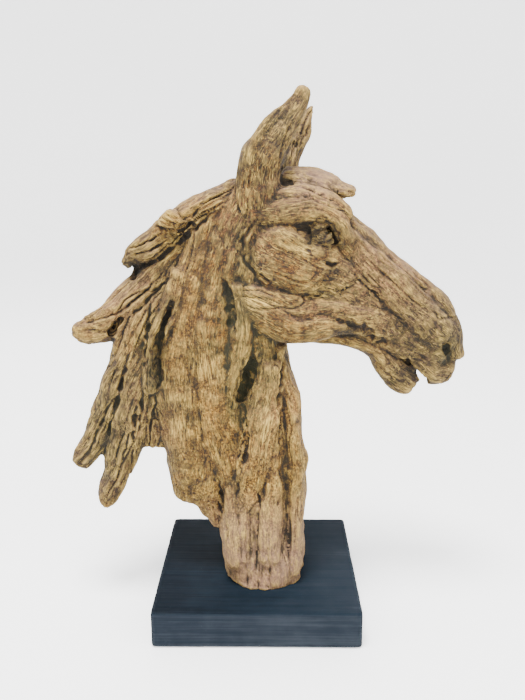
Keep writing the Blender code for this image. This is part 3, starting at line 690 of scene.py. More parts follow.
def scored(path, depth, width, deep):
    """How far a crack along a line on the sketch sinks each point, on both sides of the head."""
    line = np.array([(x, z) for x, z, *_ in along_sight([(x, z, depth, 1, 1) for x, z in path])])
    near = np.nonzero(np.all((flat > line.min(axis=0) - 20.0) & (flat < line.max(axis=0) + 20.0), axis=1))[0]
    nearest = np.full(len(near), 1e9)
    run = np.zeros(len(near))
    done = 0.0
    for start, end in zip(line, line[1:]):
        span = end - start
        share = np.clip(((flat[near] - start) @ span) / (span @ span), 0.0, 1.0)
        gap = np.hypot(*(flat[near] - start - share[:, None] * span).T)
        length = math.hypot(*span)
        run = np.where(gap < nearest, done + share * length, run)
        nearest = np.minimum(nearest, gap)
        done += length
    taper = np.clip(np.minimum(run, done - run) / (0.3 * done), 0.0, 1.0) ** 0.7 * breaks[near]
    reach = width * (0.4 + 0.6 * taper)
    sunk = np.zeros(len(points))
    sunk[near] = deep * taper * sideways[near] * np.clip(1.0 - (nearest / reach) ** 2, 0.0, 1.0)
    return sunk


known = np.zeros(len(points))
for path, depth, width, deep in KNOWN_CRACKS.values():
    known = np.maximum(known, scored(path, depth, width, deep))
print("known cracks:", len(KNOWN_CRACKS), " points in them:", int((known > 0.5).sum()))


# %% Soft patches on the sketch
def patch(x, z, wide, high, soft=0.35):
    """A soft ellipse on the sketch: 1 inside, 0 outside."""
    level = np.hypot((points[:, 0] - x) / wide, (points[:, 2] - z) / high)
    return np.clip((1.0 + soft - level) / (2 * soft), 0.0, 1.0)


def patches_of(rows):
    """The sum of soft ellipses, each with its strength first."""
    return sum(strength * patch(*place) for strength, *place in rows)


# %% Lumps, cracks and torn fibre
def splinters(pitch, length, seed):
    """Torn lanes along the grain: each rises slowly and then breaks off."""
    lane = np.floor((grain["turn"] + 2.5 * noise(points / 30.0, seed)) / pitch)
    start = noise(np.stack([lane * 3.7, number * 5.3, lane * 0.0], axis=1) + 0.5, seed + 1)
    reach = length * (1.0 + 0.5 * start)
    rise = np.mod(grain["along"] / reach + 3.0 * start, 1.0)
    return np.minimum(rise, (1.0 - rise) * 12.0) - 0.35


rough = np.array([one["rough"] for one in limbs])[number]
patches = noise(points / 55.0, 11)
ribbed = np.array([one["ribbed"] for one in limbs])[number]
lumpy = 2.6 * noise(points / 34.0, 12) + 0.8 * noise(points / 15.0, 13)
long_cracks = cracks(19.0, 150.0, 21, 0.09) * np.clip(0.4 + 1.4 * patches, 0.0, 1.0)
short_cracks = cracks(9.0, 60.0, 22, 0.12) * np.clip(0.1 + 1.6 * noise(points / 24.0, 23), 0.0, 1.0)
ridges = stretched(5.0, 34.0, 31)
fibres = stretched(2.8, 16.0, 32)
chips = np.maximum(stretched(7.0, 20.0, 33), 0.0) * np.clip(0.2 + 1.5 * noise(points / 40.0, 34), 0.0, 1.2)
torn = np.clip(patches_of([
    (1, 62, 555, 18, 9, 0.9), (1, -74, 386, 20, 18, 0.9), (1, 12, 298, 12, 26, 0.9), (1, 0, 482, 32, 12, 0.9),
    (1, 100, 496, 26, 12, 0.9), (1, -130, 586, 14, 12, 0.9), (1, -60, 250, 24, 30, 0.9),
    (1, -159, 334, 12, 14, 0.9), (1, 60, 700, 16, 50, 0.9)]), 0.0, 1.0)
knotty = np.clip(patches_of([(1, 92, 570, 25, 19, 0.2), (1, -176, 522, 14, 14), (0.6, -148, 375, 12, 30)]),
                 0.0, 1.0)
foot = np.clip((78.0 - points[:, 2]) / 20.0, 0.0, 1.0)
calm = np.clip((points[:, 2] - 60.0) / 130.0, 0.35, 1.0)
plates = np.clip(patches_of([
    (1, 50, 515, 90, 60, 0.4), (1, 200, 470, 100, 80, 0.4), (1, 70, 600, 90, 40, 0.4),
    (0.8, 20, 690, 60, 90, 0.4), (0.5, -50, 380, 80, 170, 0.5)]), 0.0, 1.0)

# %% The layers of the carving
layers = {
    "furrows": ribbed * furrows(number, grain["along"], grain["turn"]),
    "lumps": -lumpy,
    "known cracks": known,
    "torn patches": -torn * (1.5 * stretched(4.5, 16.0, 36) + 0.1),
    "knots": -knotty * (1.6 * noise(points / 4.5, 37) + 1.4 * noise(points / 9.0, 38)),
    "chance cracks": rough * calm * (3.4 * long_cracks + 2.2 * short_cracks - 0.2),
    "uneven foot": foot * (1.6 + 3.0 * noise(points / 13.0, 39)),
    "fibres": -rough * (1.0 - 0.4 * plates) * (0.8 * ridges + 0.5 * fibres + 1.1 * chips - 0.2),
    "felted plates": -plates * (0.35 * noise(points / 4.0, 40) + 0.7 * noise(points / 11.0, 43)),
    "splinters": -rough**3 * 0.9 * splinters(8.0, 70.0, 35),
}
inward = sum(layers.values())
for name, layer in layers.items():
    print(f"{name}: from {layer.min():.1f} to {layer.max():.1f} mm inward")
carved = points - outward * inward[:, None]
head.data.vertices.foreach_set("co", carved.ravel())
head.data.update()
print("deepest and highest carving in mm:", round(float(inward.max()), 1), round(float(-inward.min()), 1))

# %% [markdown]
# ## Fewer triangles, a flat foot
# A library part should stay light, so the skin is thinned: flat areas lose points first and
# the cracks keep theirs. The foot is then cut level, because it stands on the plinth.

# %% Thin and seat
HEAD_TRIANGLES = 195000
FOOT_HEIGHT = head_low[2]


def cut_level(data, height):
    """Cut the mesh off level and close the cut with one flat face."""
    mesh = bmesh.new()
    mesh.from_mesh(data)
    everything = mesh.verts[:] + mesh.edges[:] + mesh.faces[:]
    bmesh.ops.bisect_plane(mesh, geom=everything, dist=1e-6, plane_co=(0, 0, height),
                           plane_no=(0, 0, 1), clear_inner=True)
    rim = [edge for edge in mesh.edges if edge.is_boundary]
    bmesh.ops.holes_fill(mesh, edges=rim, sides=0)
    bmesh.ops.recalc_face_normals(mesh, faces=mesh.faces)
    mesh.to_mesh(data)
    mesh.free()


head.data.calc_loop_triangles()
thin = head.modifiers.new("thin", "DECIMATE")
thin.ratio = min(1.0, HEAD_TRIANGLES / len(head.data.loop_triangles))
head.data = worked_mesh(head)
cut_level(head.data, SKETCH_FOOT)
largest_shell(head.data)
points, outward = read_points(head.data)
number, grain = grain_places(points, limbs)
print("points kept:", len(points))

# %% [markdown]
# ## What the finish needs to know
# Dust and old dirt sit in every hollow, and the finish paints shade there too. Rubbed edges
# are pale, and the finish paints a highlight on them too. The mesh itself can tell
# where these are. Let each point drift towards its neighbours: where the skin is hollow the
# point moves outward, and on a ridge it moves inward. A short drift finds cracks, a long one
# finds the big valleys. These numbers are kept on the mesh as attributes.

# %% Hollows and ridges
near_mean = drift(head.data, points, 3)
far_mean = drift(head.data, near_mean, 40)
small_hollow = np.einsum("ij,ij->i", near_mean - points, outward)
large_hollow = np.einsum("ij,ij->i", far_mean - near_mean, outward)
large_hollow = drift(head.data, large_hollow, 4)[:, 0]
print("small hollows up to mm:", round(float(small_hollow.max()), 2),
      " large:", round(float(large_hollow.max()), 2))

# %% [markdown]
# ## Tints
# The tints are soft patches on the sketch. Moss is old green in the throat and in the clefts.
# Rust and rosy warm the root of the ear, the knob and the brow, gold the cheek and the
# sunny side of the neck. Bleach and grey take the colour out of the foot, the muzzle, the
# forelock and every surface that the weather falls on; on surfaces that face up the bleach is
# also painted top light. The hollow tint is dirt and painted shade in known hollows, with a
# painted shadow line between the ears, fresh the torn pale fibre, the darkening tint darkens
# in patches and paints shade on every surface that faces down, and matted the places where
# fibres are worn to a felt, so that the grain shows less and specks show more.

# %% Patches of tint
DEEPEST_DARKENING_AND_SHADE = 3.0
TINT_PATCHES = {
    "moss": [(1.2, -12, 352, 34, 60), (0.6, 270, 402, 16, 22, 0.8), (0.5, -30, 440, 50, 50),
             (0.5, -150, 400, 26, 90), (0.4, 20, 400, 40, 30), (0.4, -225, 300, 45, 80),
             (0.3, -26, 500, 30, 80)],
    "rust": [(0.9, 8, 652, 26, 22), (0.9, -126, 584, 22, 14), (0.6, 118, 575, 16, 34), (0.6, -24, 590, 34, 40),
             (0.5, -20, 300, 14, 26), (0.5, 40, 612, 40, 12), (0.6, 230, 490, 40, 20), (0.4, -60, 560, 30, 40)],
    "rosy": [(0.9, 70, 614, 60, 20, 0.6), (0.8, 190, 520, 60, 30, 0.6), (0.9, -28, 584, 20, 40, 0.6),
             (0.6, -6, 560, 24, 30, 0.6), (0.5, 20, 90, 110, 70, 0.8), (0.7, 150, 520, 26, 50, 0.6),
             (0.6, -190, 470, 60, 40, 0.6), (0.5, 220, 430, 50, 40, 0.6), (0.5, 90, 470, 60, 14, 0.6),
             (0.4, 30, 330, 40, 70, 0.6)],
    "bleach": [(0.9, 20, 80, 110, 70, 0.9), (0.7, 95, 642, 60, 18)],
    "grey": [(1, 20, 80, 110, 70, 0.8), (0.9, 255, 400, 70, 70, 0.6), (0.8, -190, 500, 60, 50, 0.6),
             (0.8, -220, 280, 80, 110, 0.6), (0.7, 90, 642, 70, 20), (0.6, 50, 730, 40, 50),
             (0.5, 190, 500, 70, 50, 0.8)],
    "gold": [(1, -40, 520, 60, 90, 0.7), (0.8, 10, 620, 40, 50, 0.7), (0.8, 50, 515, 70, 46, 0.7),
             (0.9, -150, 400, 30, 90, 0.6), (0.6, -30, 300, 90, 120, 0.8), (0.6, 60, 450, 110, 26, 0.7)],
    # Dirt and painted shade in the known hollows.
    "burnt": [(0.75, 92, 572, 24, 18, 0.4), (1, -176, 522, 14, 14, 0.3), (0.4, -14, 358, 15, 36, 0.6),
              (0.5, -26, 316, 6, 20, 0.5), (0.8, -148, 376, 11, 30, 0.4), (0.8, 134, 438, 26, 7, 0.6),
              (0.5, -38, 445, 7, 26, 0.6), (0.6, -47, 494, 8, 12, 0.6), (0.7, 273, 404, 8, 15, 0.8),
              (0.7, 224, 372, 10, 9, 0.4), (0.6, -126, 460, 10, 30, 0.5), (0.5, -30, 205, 8, 30, 0.5),
              (0.8, 107, 526, 13, 5, 0.6), (0.7, 40, 664, 9, 14, 0.6), (0.5, 32, 690, 8, 12, 0.8),
              (0.6, -22, 470, 8, 34, 0.7), (0.5, -20, 540, 8, 30, 0.8)],
    "fresh": [(1, -132, 596, 12, 9, 0.6), (1, 62, 553, 18, 8, 0.6), (0.8, -70, 388, 18, 16, 0.7),
              (1, 12, 296, 9, 26, 0.6), (0.6, -112, 300, 14, 20, 0.6), (0.5, -20, 420, 8, 30, 0.6),
              (0.6, 100, 494, 26, 11, 0.6), (0.8, -4, 480, 30, 8, 0.6), (0.5, -14, 500, 10, 40, 0.7),
              (0.6, 44, 640, 8, 12, 0.6)],
    "dusk": [(0.9, 110, 500, 190, 110, 0.5), (1.3, 262, 400, 60, 60), (1.5, 215, 355, 40, 25),
             (1.2, 262, 440, 50, 44, 0.8), (0.7, -150, 400, 34, 110), (1.7, -235, 290, 60, 110, 0.6),
             (0.7, -205, 230, 50, 120, 0.6), (0.8, -170, 545, 50, 40, 0.6), (0.5, 88, 570, 34, 24),
             (0.9, -20, 560, 50, 70, 0.6), (1.6, 20, 690, 60, 90, 0.5), (0.5, 40, 385, 60, 26)],
    "matted": [(1, 50, 515, 90, 60, 0.5), (1, 200, 470, 100, 80, 0.5), (1, 70, 600, 90, 40, 0.5),
               (0.8, 20, 690, 60, 90, 0.5), (0.8, -50, 380, 80, 170, 0.6), (0.9, 20, 90, 110, 80, 0.8),
               (0.8, 30, 270, 60, 120, 0.6)],
}

tints = {name: patches_of(rows) for name, rows in TINT_PATCHES.items()}

# %% What else each tint depends on
skyward = np.clip(outward[:, 2], 0.0, 1.0)
groundward = np.clip(-outward[:, 2], 0.0, 1.0)
mottle = 0.5 + 0.5 * noise(points / 32.0, 41)
far_stub = (points[:, 1] > 10.0) * patch(58, 700, 40, 60, 0.2)
ear_edge = np.abs(points[:, 0] - 33.0 - (points[:, 2] - 664.0) * 0.36)
tints["moss"] += 0.25 * mottle
tints["rosy"] += 0.6 * patch(-200, 230, 50, 120, 0.8) * mottle
# Surfaces that face up are paler: weathering, and painted top light.
tints["bleach"] += 0.75 * skyward**1.5
tints["grey"] += far_stub
# A painted shadow line along the near edge of the far ear, between the two ears.
tints["burnt"] += far_stub * np.clip(1.2 - ear_edge / 6.0, 0.0, 1.0)
for name in ("bleach", "grey"):
    tints[name] = np.clip(tints[name], 0.0, 1.0)
# Painted shade: every surface that faces down is darker.
tints["dusk"] += (0.3 * (1.0 - patch(10, 80, 110, 60, 0.8)) + 0.8 * groundward - 0.5 * far_stub
                  - 0.8 * tints["bleach"])
for name, value in tints.items():
    tints[name] = np.clip(value, 0.0, DEEPEST_DARKENING_AND_SHADE if name == "dusk" else 1.0)
tints["gold"] *= 1.0 - 0.7 * tints["grey"]
print("mean of each tint:", {name: round(float(value.mean()), 2) for name, value in tints.items()})

# %% Keep them on the mesh
def keep(data, name, kind, values):
    """Store one value for each point of the mesh."""
    made = data.attributes.new(name, kind, "POINT")
    part = "vector" if kind == "FLOAT_VECTOR" else "value"
    made.data.foreach_set(part, np.ascontiguousarray(values).ravel())


sway = swayed(points)
grain_map = np.stack([grain["u"] + sway + 41.0 * number, grain["v"] - sway + 23.0 * number, grain["along"]],
                     axis=1)
keep(head.data, "grain", "FLOAT_VECTOR", grain_map)
keep(head.data, "small_hollow", "FLOAT", small_hollow)
keep(head.data, "large_hollow", "FLOAT", large_hollow)
for name, value in tints.items():
    keep(head.data, name, "FLOAT", value)

# %% Seat the head on the plinth
UNIT = 0.001
head.data.transform(Matrix.Translation((0.0, 0.0, FOOT_HEIGHT - SKETCH_FOOT * UNIT)) @ Matrix.Scale(UNIT, 4))
head.data.shade_smooth()
head.data.name = "carved_head"
workshop.objects.unlink(head)
bpy.context.scene.collection.objects.link(head)
bpy.context.scene.collection.children.unlink(workshop)
bpy.data.collections.remove(workshop)
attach(head, "root")
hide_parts("horse_head")
corners = np.array([list(corner) for corner in head.bound_box])
print("carved head from", corners.min(axis=0).round(4), "to", corners.max(axis=0).round(4))

# %% [markdown]
# ## Shader maths that reads like maths
# A finish is a graph of nodes. Written out node by node it hides what it does. So a small
# class wraps one socket and turns + - * into Math nodes, also where a plain number comes
# first, as in 1 - mask. A second class holds one material and adds any other node.

# %% A socket that can be calculated with
class Value:
    """One socket of a finish. Sums and products of values become Math nodes."""

    def __init__(self, finish, socket):
        self.finish = finish
        self.socket = socket

    def maths(self, operation, first, second=None, clamp=False):
        """One Math node."""
        sockets = {0: first} if second is None else {0: first, 1: second}
        return self.finish.node("ShaderNodeMath", {"operation": operation, "use_clamp": clamp}, sockets)

    def __add__(self, other):
        return self.maths("ADD", self, other)

    __radd__ = __add__

    def __sub__(self, other):
        return self.maths("SUBTRACT", self, other)

    def __rsub__(self, other):
        return self.maths("SUBTRACT", other, self)

    def __mul__(self, other):
        return self.maths("MULTIPLY", self, other)

    __rmul__ = __mul__

    def __abs__(self):
        return self.maths("ABSOLUTE", self)

    def held(self):
        """The value kept between 0 and 1."""
        return self.maths("ADD", self, 0.0, clamp=True)


# %% A finish and its nodes
def paint(red, green, blue):
    """A colour in the usual 0 to 255, turned into amounts of light."""
    shares = [value / 255.0 for value in (red, green, blue)]
    return tuple(s / 12.92 if s <= 0.04045 else ((s + 0.055) / 1.055) ** 2.4 for s in shares) + (1.0,)


class Finish:
    """The nodes of one material."""

    def __init__(self, name):
        self.material = bpy.data.materials.new(name)
        self.material.use_nodes = True
        self.tree = self.material.node_tree
        self.tree.nodes.clear()

    def node(self, kind, settings=None, sockets=None, out=0):
        """Add a node, set its settings, then fill its sockets with numbers or values."""
        made = self.tree.nodes.new(kind)
        for name, setting in (settings or {}).items():
            if name == "stops":
                while len(made.color_ramp.elements) < len(setting):
                    made.color_ramp.elements.new(1.0)
                for element, (place, colour) in zip(made.color_ramp.elements, setting):
                    element.position = place
                    element.color = colour
            else:
                setattr(made, name, setting)
        for name, value in (sockets or {}).items():
            if isinstance(value, Value):
                self.tree.links.new(value.socket, made.inputs[name])
            else:
                made.inputs[name].default_value = value
        return Value(self, made.outputs[out]) if made.outputs else None

    def kept(self, name, out="Fac"):
        """What was kept on the mesh under that name."""
        return self.node("ShaderNodeAttribute", {"attribute_name": name}, out=out)

    def noise(self, vector, size, detail=3.0, roughness=0.55, distortion=0.0):
        """Soft random values around one half, in waves of that size along each axis."""
        vector = self.node("ShaderNodeVectorMath", {"operation": "DIVIDE"}, {0: vector, 1: size})
        return self.node("ShaderNodeTexNoise", None, {"Vector": vector, "Scale": 1.0, "Detail": detail,
                                                      "Roughness": roughness, "Distortion": distortion})

    def ramp(self, value, stops):
        """A colour for each value."""
        return self.node("ShaderNodeValToRGB", {"stops": stops}, {"Fac": value}, out="Color")

    def mix(self, share, first, second, blend="MIX"):
        """The second colour over the first by that share."""
        return self.node("ShaderNodeMix", {"data_type": "RGBA", "blend_type": blend, "clamp_factor": True},
                         {0: share, 6: first, 7: second}, out=2)

    def close(self, colour, roughness, height, distance, strength=1.0, specular=0.5, glow=0.0):
        """Bump, shader and output."""
        bump = self.node("ShaderNodeBump", None,
                         {"Strength": strength, "Distance": distance, "Height": height})
        shader = self.node("ShaderNodeBsdfPrincipled", None,
                           {"Base Color": colour, "Roughness": roughness, "Normal": bump,
                            "Specular IOR Level": specular, "Emission Strength": glow})
        self.node("ShaderNodeOutputMaterial", None, {"Surface": shader})
        print(self.material.name, "has", len(self.tree.nodes), "nodes")
        return self.material

# %% [markdown]
# ## Weathered root
# Bare root wood that has lain outside is tan where it was split, straw pale on torn fibres,
# and brown to black in its cracks. An image would show one board, cut flat. Noise that is
# stretched along the kept grain turns with every limb, so the wood looks grown. One tone is
# worked out first and coloured by a ramp. Each tint is then laid over it in patches. A painted
# highlight goes on the ridges. The dirt with painted shade in the hollows comes last,
# because on the real wood dirt lies over everything else.

# %% The colours of the root
WOOD_DARK = paint(28, 17, 5)
WOOD_BROWN = paint(66, 45, 11)
WOOD_TAN = paint(103, 75, 22)
WOOD_STRAW = paint(137, 105, 38)
WOOD_PALE = paint(194, 161, 80)
WOOD_GREY = paint(108, 88, 68)
WOOD_ROSE = paint(160, 126, 104)
WOOD_ROSY = paint(196, 134, 100)
WOOD_RUSSET = paint(228, 168, 118)
WOOD_GOLD = paint(244, 208, 138)
OLIVE = paint(88, 80, 32)
MOSS = paint(54, 55, 19)
# Dark colours for dirt and painted shade in the hollows.
DIRT_AND_SHADE = paint(19, 13, 6)
GREEN_DIRT_AND_SHADE = paint(31, 33, 13)
print("tan, as light:", [round(value, 3) for value in WOOD_TAN[:3]])

# %% The finish of the root
root = Finish("weathered_root")
grain_place = root.kept("grain", "Vector")
place = root.node("ShaderNodeTexCoord", None, None, out="Object")
strand = root.noise(grain_place, (2.6, 2.6, 28.0), 3.0, 0.65, 0.3)
fibre = root.noise(grain_place, (1.5, 1.5, 14.0), 3.0, 0.7, 0.2)
streak = root.noise(grain_place, (12.0, 12.0, 90.0), 2.0, 0.5)
pale_hair = root.noise(grain_place, (3.2, 3.2, 24.0), 1.0, 0.5, 0.3)
dark_hair = root.noise(grain_place, (4.6, 4.6, 36.0), 2.0, 0.6, 0.3)
blotch = root.noise(place, (0.03,) * 3, 2.0, 0.6, 0.4)
cloud = root.noise(place, (0.045,) * 3, 3.0, 0.6)
stain = root.noise(place, (0.015,) * 3, 4.0, 0.65)
speck = root.noise(place, (0.0034,) * 3, 2.0, 0.7)
print("noises in the root:", sum(node.type == "TEX_NOISE" for node in root.tree.nodes))

# %% Tone from the grain
matted = root.kept("matted")
crack = root.kept("small_hollow")
valley = root.kept("large_hollow")
# Painted shade in the cracks and the big valleys that the mesh finds.
shade = (crack * 1.2 + valley * 0.15 - 0.09).held()
ridge = (crack * -0.9 - 0.04).held()
pale_line = (1.0 - abs(pale_hair - 0.5) * 16.0).held() * ((stain - 0.42) * 6.0).held()
dark_line = (1.0 - abs(dark_hair - 0.5) * 24.0).held() * ((blotch - 0.42) * 6.0).held()
# The darkening lowers the tone, and with it paints shade on surfaces that face down.
tone = (0.49 - root.kept("dusk") * 0.17 + (speck - 0.5) * 1.2 * (1.0 + matted * 0.7)
        + ((streak - 0.5) * 0.5 + (cloud - 0.5) * 0.55 + (stain - 0.5) * 0.5
           + (strand - 0.5) * 0.8 + (fibre - 0.5) * 2.0) * (1.0 - matted * 0.45))
wood = root.ramp(tone, [(0.05, WOOD_DARK), (0.30, WOOD_BROWN), (0.50, WOOD_TAN), (0.70, WOOD_STRAW),
                        (0.95, WOOD_PALE)])
print("stops of the tone:", [round(element.position, 2) for element in wood.socket.node.color_ramp.elements])


# %% Tints over the tone
def tinted(under, name, broken_by, strength, colour, blend="MIX"):
    """Lay a colour over the wood where one of the kept tints is, broken up by noise."""
    return root.mix((root.kept(name) * broken_by).held() * strength, under, colour, blend)


warm = root.mix(0.45, wood, WOOD_RUSSET, "MULTIPLY")
wood = root.mix(((cloud - 0.48) * 5.0).held() * 0.5, wood, warm)
wood = root.mix(((blotch - 0.5) * 5.0).held() * 0.45, wood, root.mix(0.6, wood, OLIVE))
greyed = root.mix(tone.held(), WOOD_DARK, root.mix(0.5, WOOD_GREY, WOOD_ROSE))
flushed = root.mix(tone.held(), WOOD_BROWN, WOOD_ROSY)
wood = tinted(wood, "gold", 0.5 + stain, 0.8, WOOD_GOLD, "MULTIPLY")
wood = tinted(wood, "grey", stain * 1.2 + 0.1, 0.75, greyed)
# Bleached wood, and painted top light on the surfaces that face up.
wood = tinted(wood, "bleach", 0.4 + fibre * 0.9, 0.6, WOOD_ROSE)
wood = tinted(wood, "rust", stain * 1.8 - 0.4, 0.75, WOOD_RUSSET, "MULTIPLY")
wood = tinted(wood, "rosy", cloud * 1.6 - 0.3, 0.5, flushed)
wood = tinted(wood, "moss", stain * 2.0 - 0.3, 0.6, MOSS)
print("nodes up to the tints:", len(root.tree.nodes))

# %% Raised fibre with painted highlights, dirt with painted shade, and relief
sliver = ((strand - 0.47) * 9.0).held()
# Pale raised and torn fibre, and a painted highlight on every ridge that the mesh finds.
raised_fibre_and_highlight = (pale_line * 0.6 + ridge * (fibre * 2.0 - 0.3) * 0.65 + root.kept("fresh") * sliver * 0.9).held()
wood = root.mix(raised_fibre_and_highlight, wood, WOOD_PALE)
wood = root.mix(dark_line * (0.6 - matted * 0.2), wood, WOOD_DARK)
dirt_and_shade = root.mix(root.kept("moss"), DIRT_AND_SHADE, GREEN_DIRT_AND_SHADE)
# Dirt and painted shade in the known hollows.
wood = tinted(wood, "burnt", 1.95 - speck * 1.1 - strand * 0.9, 0.88, dirt_and_shade)
# Dirt and painted shade in every hollow that the mesh finds.
wood = root.mix((shade * (0.7 + stain)).held() * 0.92, wood, dirt_and_shade)
roughness = (0.80 + (fibre - 0.5) * 0.2 - ridge * 0.1).held()
height = strand * 0.7 + fibre * 1.3 + speck * 0.6 + pale_line * 0.25 - dark_line * 0.4
head.data.materials.clear()
head.data.materials.append(root.close(wood, roughness, height, 0.0030, specular=0.3))

# %% [markdown]
# ## The plinth
# A square block of soft wood under dark paint. Its corners are rubbed round, its faces are a
# little uneven, and the grain of the board shows through as fine level lines. The solid block
# is remeshed, so that there are points to move, and each point is only ever moved inward.

# %% The plinth's block
PLINTH_STEP = 0.0022
PLINTH_CORNER = 0.006
PLINTH_EDGE = 0.0035


def rounded_block(low, high):
    """A block between two corners whose upright edges are rounder than its level ones."""
    mesh = bmesh.new()
    bmesh.ops.create_cube(mesh, size=1.0)
    for vert in mesh.verts:
        vert.co = Vector([(low[i] + high[i]) / 2 + vert.co[i] * (high[i] - low[i]) for i in range(3)])
    upright = [edge for edge in mesh.edges if abs(edge.verts[0].co.z - edge.verts[1].co.z) > 0.01]
    bmesh.ops.bevel(mesh, geom=upright, offset=PLINTH_CORNER, segments=4, profile=0.5, affect="EDGES")
    level = [edge for edge in mesh.edges if abs(edge.verts[0].co.z - edge.verts[1].co.z) < 1e-6
             and len(edge.link_faces) == 2 and abs(edge.calc_face_angle(0.0)) > 1.2]
    bmesh.ops.bevel(mesh, geom=level, offset=PLINTH_EDGE, segments=3, profile=0.5, affect="EDGES")
    bmesh.ops.recalc_face_normals(mesh, faces=mesh.faces)
    data = bpy.data.meshes.new("plinth_block")
    mesh.to_mesh(data)
    mesh.free()
    return data


# %% Its uneven faces and worn edges
block = bpy.data.objects.new("plinth_block", rounded_block(plinth_low, plinth_high))
bpy.context.scene.collection.objects.link(block)
pull_skin(block, PLINTH_STEP)
spots, facing = read_points(block.data)
WAVES, GRAIN, DENTS, CHIPS = 0.0005, 0.00025, 0.0004, 0.0022
RUBBED = 0.006
uneven = 0.5 + 0.5 * noise(spots / np.array([0.09, 0.05, 0.05]), 61)
boards = np.abs(noise(spots / np.array([0.16, 0.0030, 0.0030]), 62))
dents = np.clip(noise(spots / 0.012, 63) - 0.45, 0.0, 1.0)
rim = np.sort(np.minimum(spots - np.array(plinth_low), np.array(plinth_high) - spots), axis=1)[:, 1]
worn = np.clip(1.0 - rim / RUBBED, 0.0, 1.0)
chipped = worn * np.clip(noise(spots / 0.009, 64) - 0.15, 0.0, 1.0)
sunk = WAVES * uneven + GRAIN * boards + DENTS * dents + CHIPS * chipped
sunk[spots[:, 2] < plinth_low[2] + 0.0008] = 0.0
spots = spots - facing * sunk[:, None]
block.data.vertices.foreach_set("co", spots.ravel())
block.data.update()
side = (spots[:, 0] - plinth_low[0]) / (plinth_high[0] - plinth_low[0])
# Painted shade on the top, darkest at the left end and fading to the right.
oiled = np.clip(facing[:, 2], 0.0, 1.0) * (1.0 - 0.85 * side)
keep(block.data, "oiled", "FLOAT", oiled)
keep(block.data, "worn", "FLOAT", worn)
keep(block.data, "chipped", "FLOAT", chipped)
block.data.shade_smooth()
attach(block, "root")
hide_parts("plinth")
print("plinth points:", len(spots), " deepest dent in mm:", round(float(sunk.max()) * 1000, 2))

# %% [markdown]
# ## Dark paint
# Flat slate paint over grain: nearly one colour, a little bluer and paler along the raised
# lines, greyer where dust lies, with painted shade on top that is darkest at the left end,
# and bare wood only in the smallest chips of the rim.

# %% The finish of the plinth
slate = Finish("dark_paint")
place = slate.node("ShaderNodeTexCoord", None, None, out="Object")
lines = slate.noise(place, (0.16, 0.0050, 0.0022), 4.0, 0.65, 0.15)
wide_lines = slate.noise(place, (0.22, 0.014, 0.014), 3.0, 0.5)
dust = slate.noise(place, (0.06,) * 3, 4.0, 0.6)
grit = slate.noise(place, (0.0018,) * 3, 2.0, 0.8)
# The top's painted shade darkens the paint.
tone = (0.70 - slate.kept("oiled") * 0.60 + (lines - 0.5) * 0.55 + (wide_lines - 0.5) * 0.3
        + (dust - 0.5) * 0.45)
painted = slate.ramp(tone, [(0.15, paint(5, 12, 19)), (0.45, paint(16, 25, 33)), (0.65, paint(25, 31, 38)),
                            (0.95, paint(46, 51, 57))])
flecks = ((grit - 0.74) * 12.0).held()
painted = slate.mix(flecks * 0.35, painted, paint(128, 132, 134))
painted = slate.mix((slate.kept("worn") * (lines * 2.0 - 0.9)).held() * 0.3, painted, paint(98, 104, 110))
painted = slate.mix((slate.kept("chipped") * 2.4 - 0.75).held(), painted, paint(150, 138, 120))
height = lines * 0.8 + wide_lines * 0.5 + grit * 0.15
block.data.materials.clear()
roughness = (0.78 + (lines - 0.5) * 0.3).held()
block.data.materials.append(slate.close(painted, roughness, height, 0.0008, strength=0.7, specular=0.05))

# %% [markdown]
# ## Floor and light
# The floor is a pale bowl, flat in the middle and rising far away, so that the ground and the
# background are one surface from every side. It glows a little, like a lit backdrop. Large
# soft lamps stand in for a bright room: most of the light falls from above, as it does from
# a window in a roof, and a weak one behind keeps the far side readable.

# %% The pale floor
FLOOR_FLAT = 2.6
FLOOR_WALL = 5.0
FLOOR_TOP = 6.0
FLOOR_DROP = 0.0002
FLOOR_SIDES = 64
FLOOR_STEPS = 12

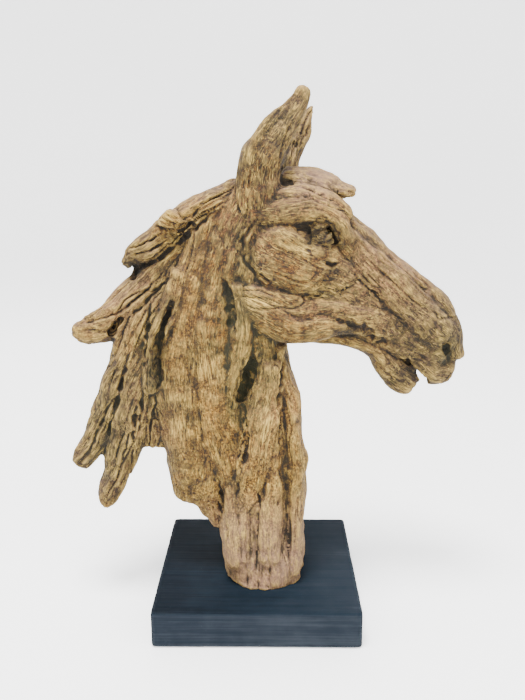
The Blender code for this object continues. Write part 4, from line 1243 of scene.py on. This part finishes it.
bend = FLOOR_WALL - FLOOR_FLAT
profile = [(radius, -FLOOR_DROP) for radius in (0.0, 0.3, 0.8, 1.5, FLOOR_FLAT)]
for step in range(1, FLOOR_STEPS + 1):
    turn = step / FLOOR_STEPS * math.pi / 2
    profile.append((FLOOR_FLAT + bend * math.sin(turn), bend * (1.0 - math.cos(turn))))
profile.append((FLOOR_WALL, FLOOR_TOP))
floor_mesh = bmesh.new()
rings = [[floor_mesh.verts.new((r * math.cos(a), r * math.sin(a), z))
          for a in np.linspace(0.0, 2 * math.pi, FLOOR_SIDES, endpoint=False)] for r, z in profile[1:]]
middle = floor_mesh.verts.new((0.0, 0.0, profile[0][1]))
for i in range(FLOOR_SIDES):
    j = (i + 1) % FLOOR_SIDES
    floor_mesh.faces.new((middle, rings[0][i], rings[0][j]))
    for lower, upper in zip(rings, rings[1:]):
        floor_mesh.faces.new((lower[i], upper[i], upper[j], lower[j]))
floor_data = bpy.data.meshes.new("floor")
floor_mesh.to_mesh(floor_data)
floor_mesh.free()
floor_data.shade_smooth()
floor = bpy.data.objects.new("floor", floor_data)
bpy.context.scene.collection.objects.link(floor)
pale = Finish("pale_floor")
place = pale.node("ShaderNodeTexCoord", None, None, out="Object")
soft = pale.noise(place, (1 / 0.7,) * 3, 2.0)
floor_colour = pale.ramp(soft, [(0.3, (0.86, 0.86, 0.86, 1.0)), (0.7, (0.89, 0.89, 0.89, 1.0))])
floor_data.materials.append(pale.close(floor_colour, 0.9, soft, 0.0001, strength=0.1, specular=0.2, glow=0.6))

# %% Soft lamps
MIDDLE_OF_HEAD = (0.0, 0.0, 0.40)
LAMPS = {
    "front_lamp": ((0.3, -2.4, 1.3), 1.2, 30.0),
    "side_lamp": ((2.0, -1.4, 1.5), 1.4, 14.0),
    "top_lamp": ((-0.3, -0.7, 2.9), 1.0, 205.0),
    "back_lamp": ((-0.6, 2.3, 1.8), 1.6, 36.0),
}


def lamp(name, place, size, power):
    """A large soft lamp that looks at the middle of the head."""
    light = bpy.data.lights.new(name, "AREA")
    light.shape = "DISK"
    light.size = size
    light.energy = power
    item = bpy.data.objects.new(name, light)
    item.location = place
    item.rotation_euler = (Vector(MIDDLE_OF_HEAD) - Vector(place)).to_track_quat("-Z", "Y").to_euler()
    bpy.context.scene.collection.objects.link(item)


for name, (place, size, power) in LAMPS.items():
    lamp(name, place, size, power)
SKY_STRENGTH = 1.5
room = bpy.data.worlds.new("bright_room")
room.use_nodes = True
sky = room.node_tree.nodes["Background"].inputs
sky["Color"].default_value = (1.0, 1.0, 1.0, 1.0)
sky["Strength"].default_value = SKY_STRENGTH
bpy.context.scene.world = room
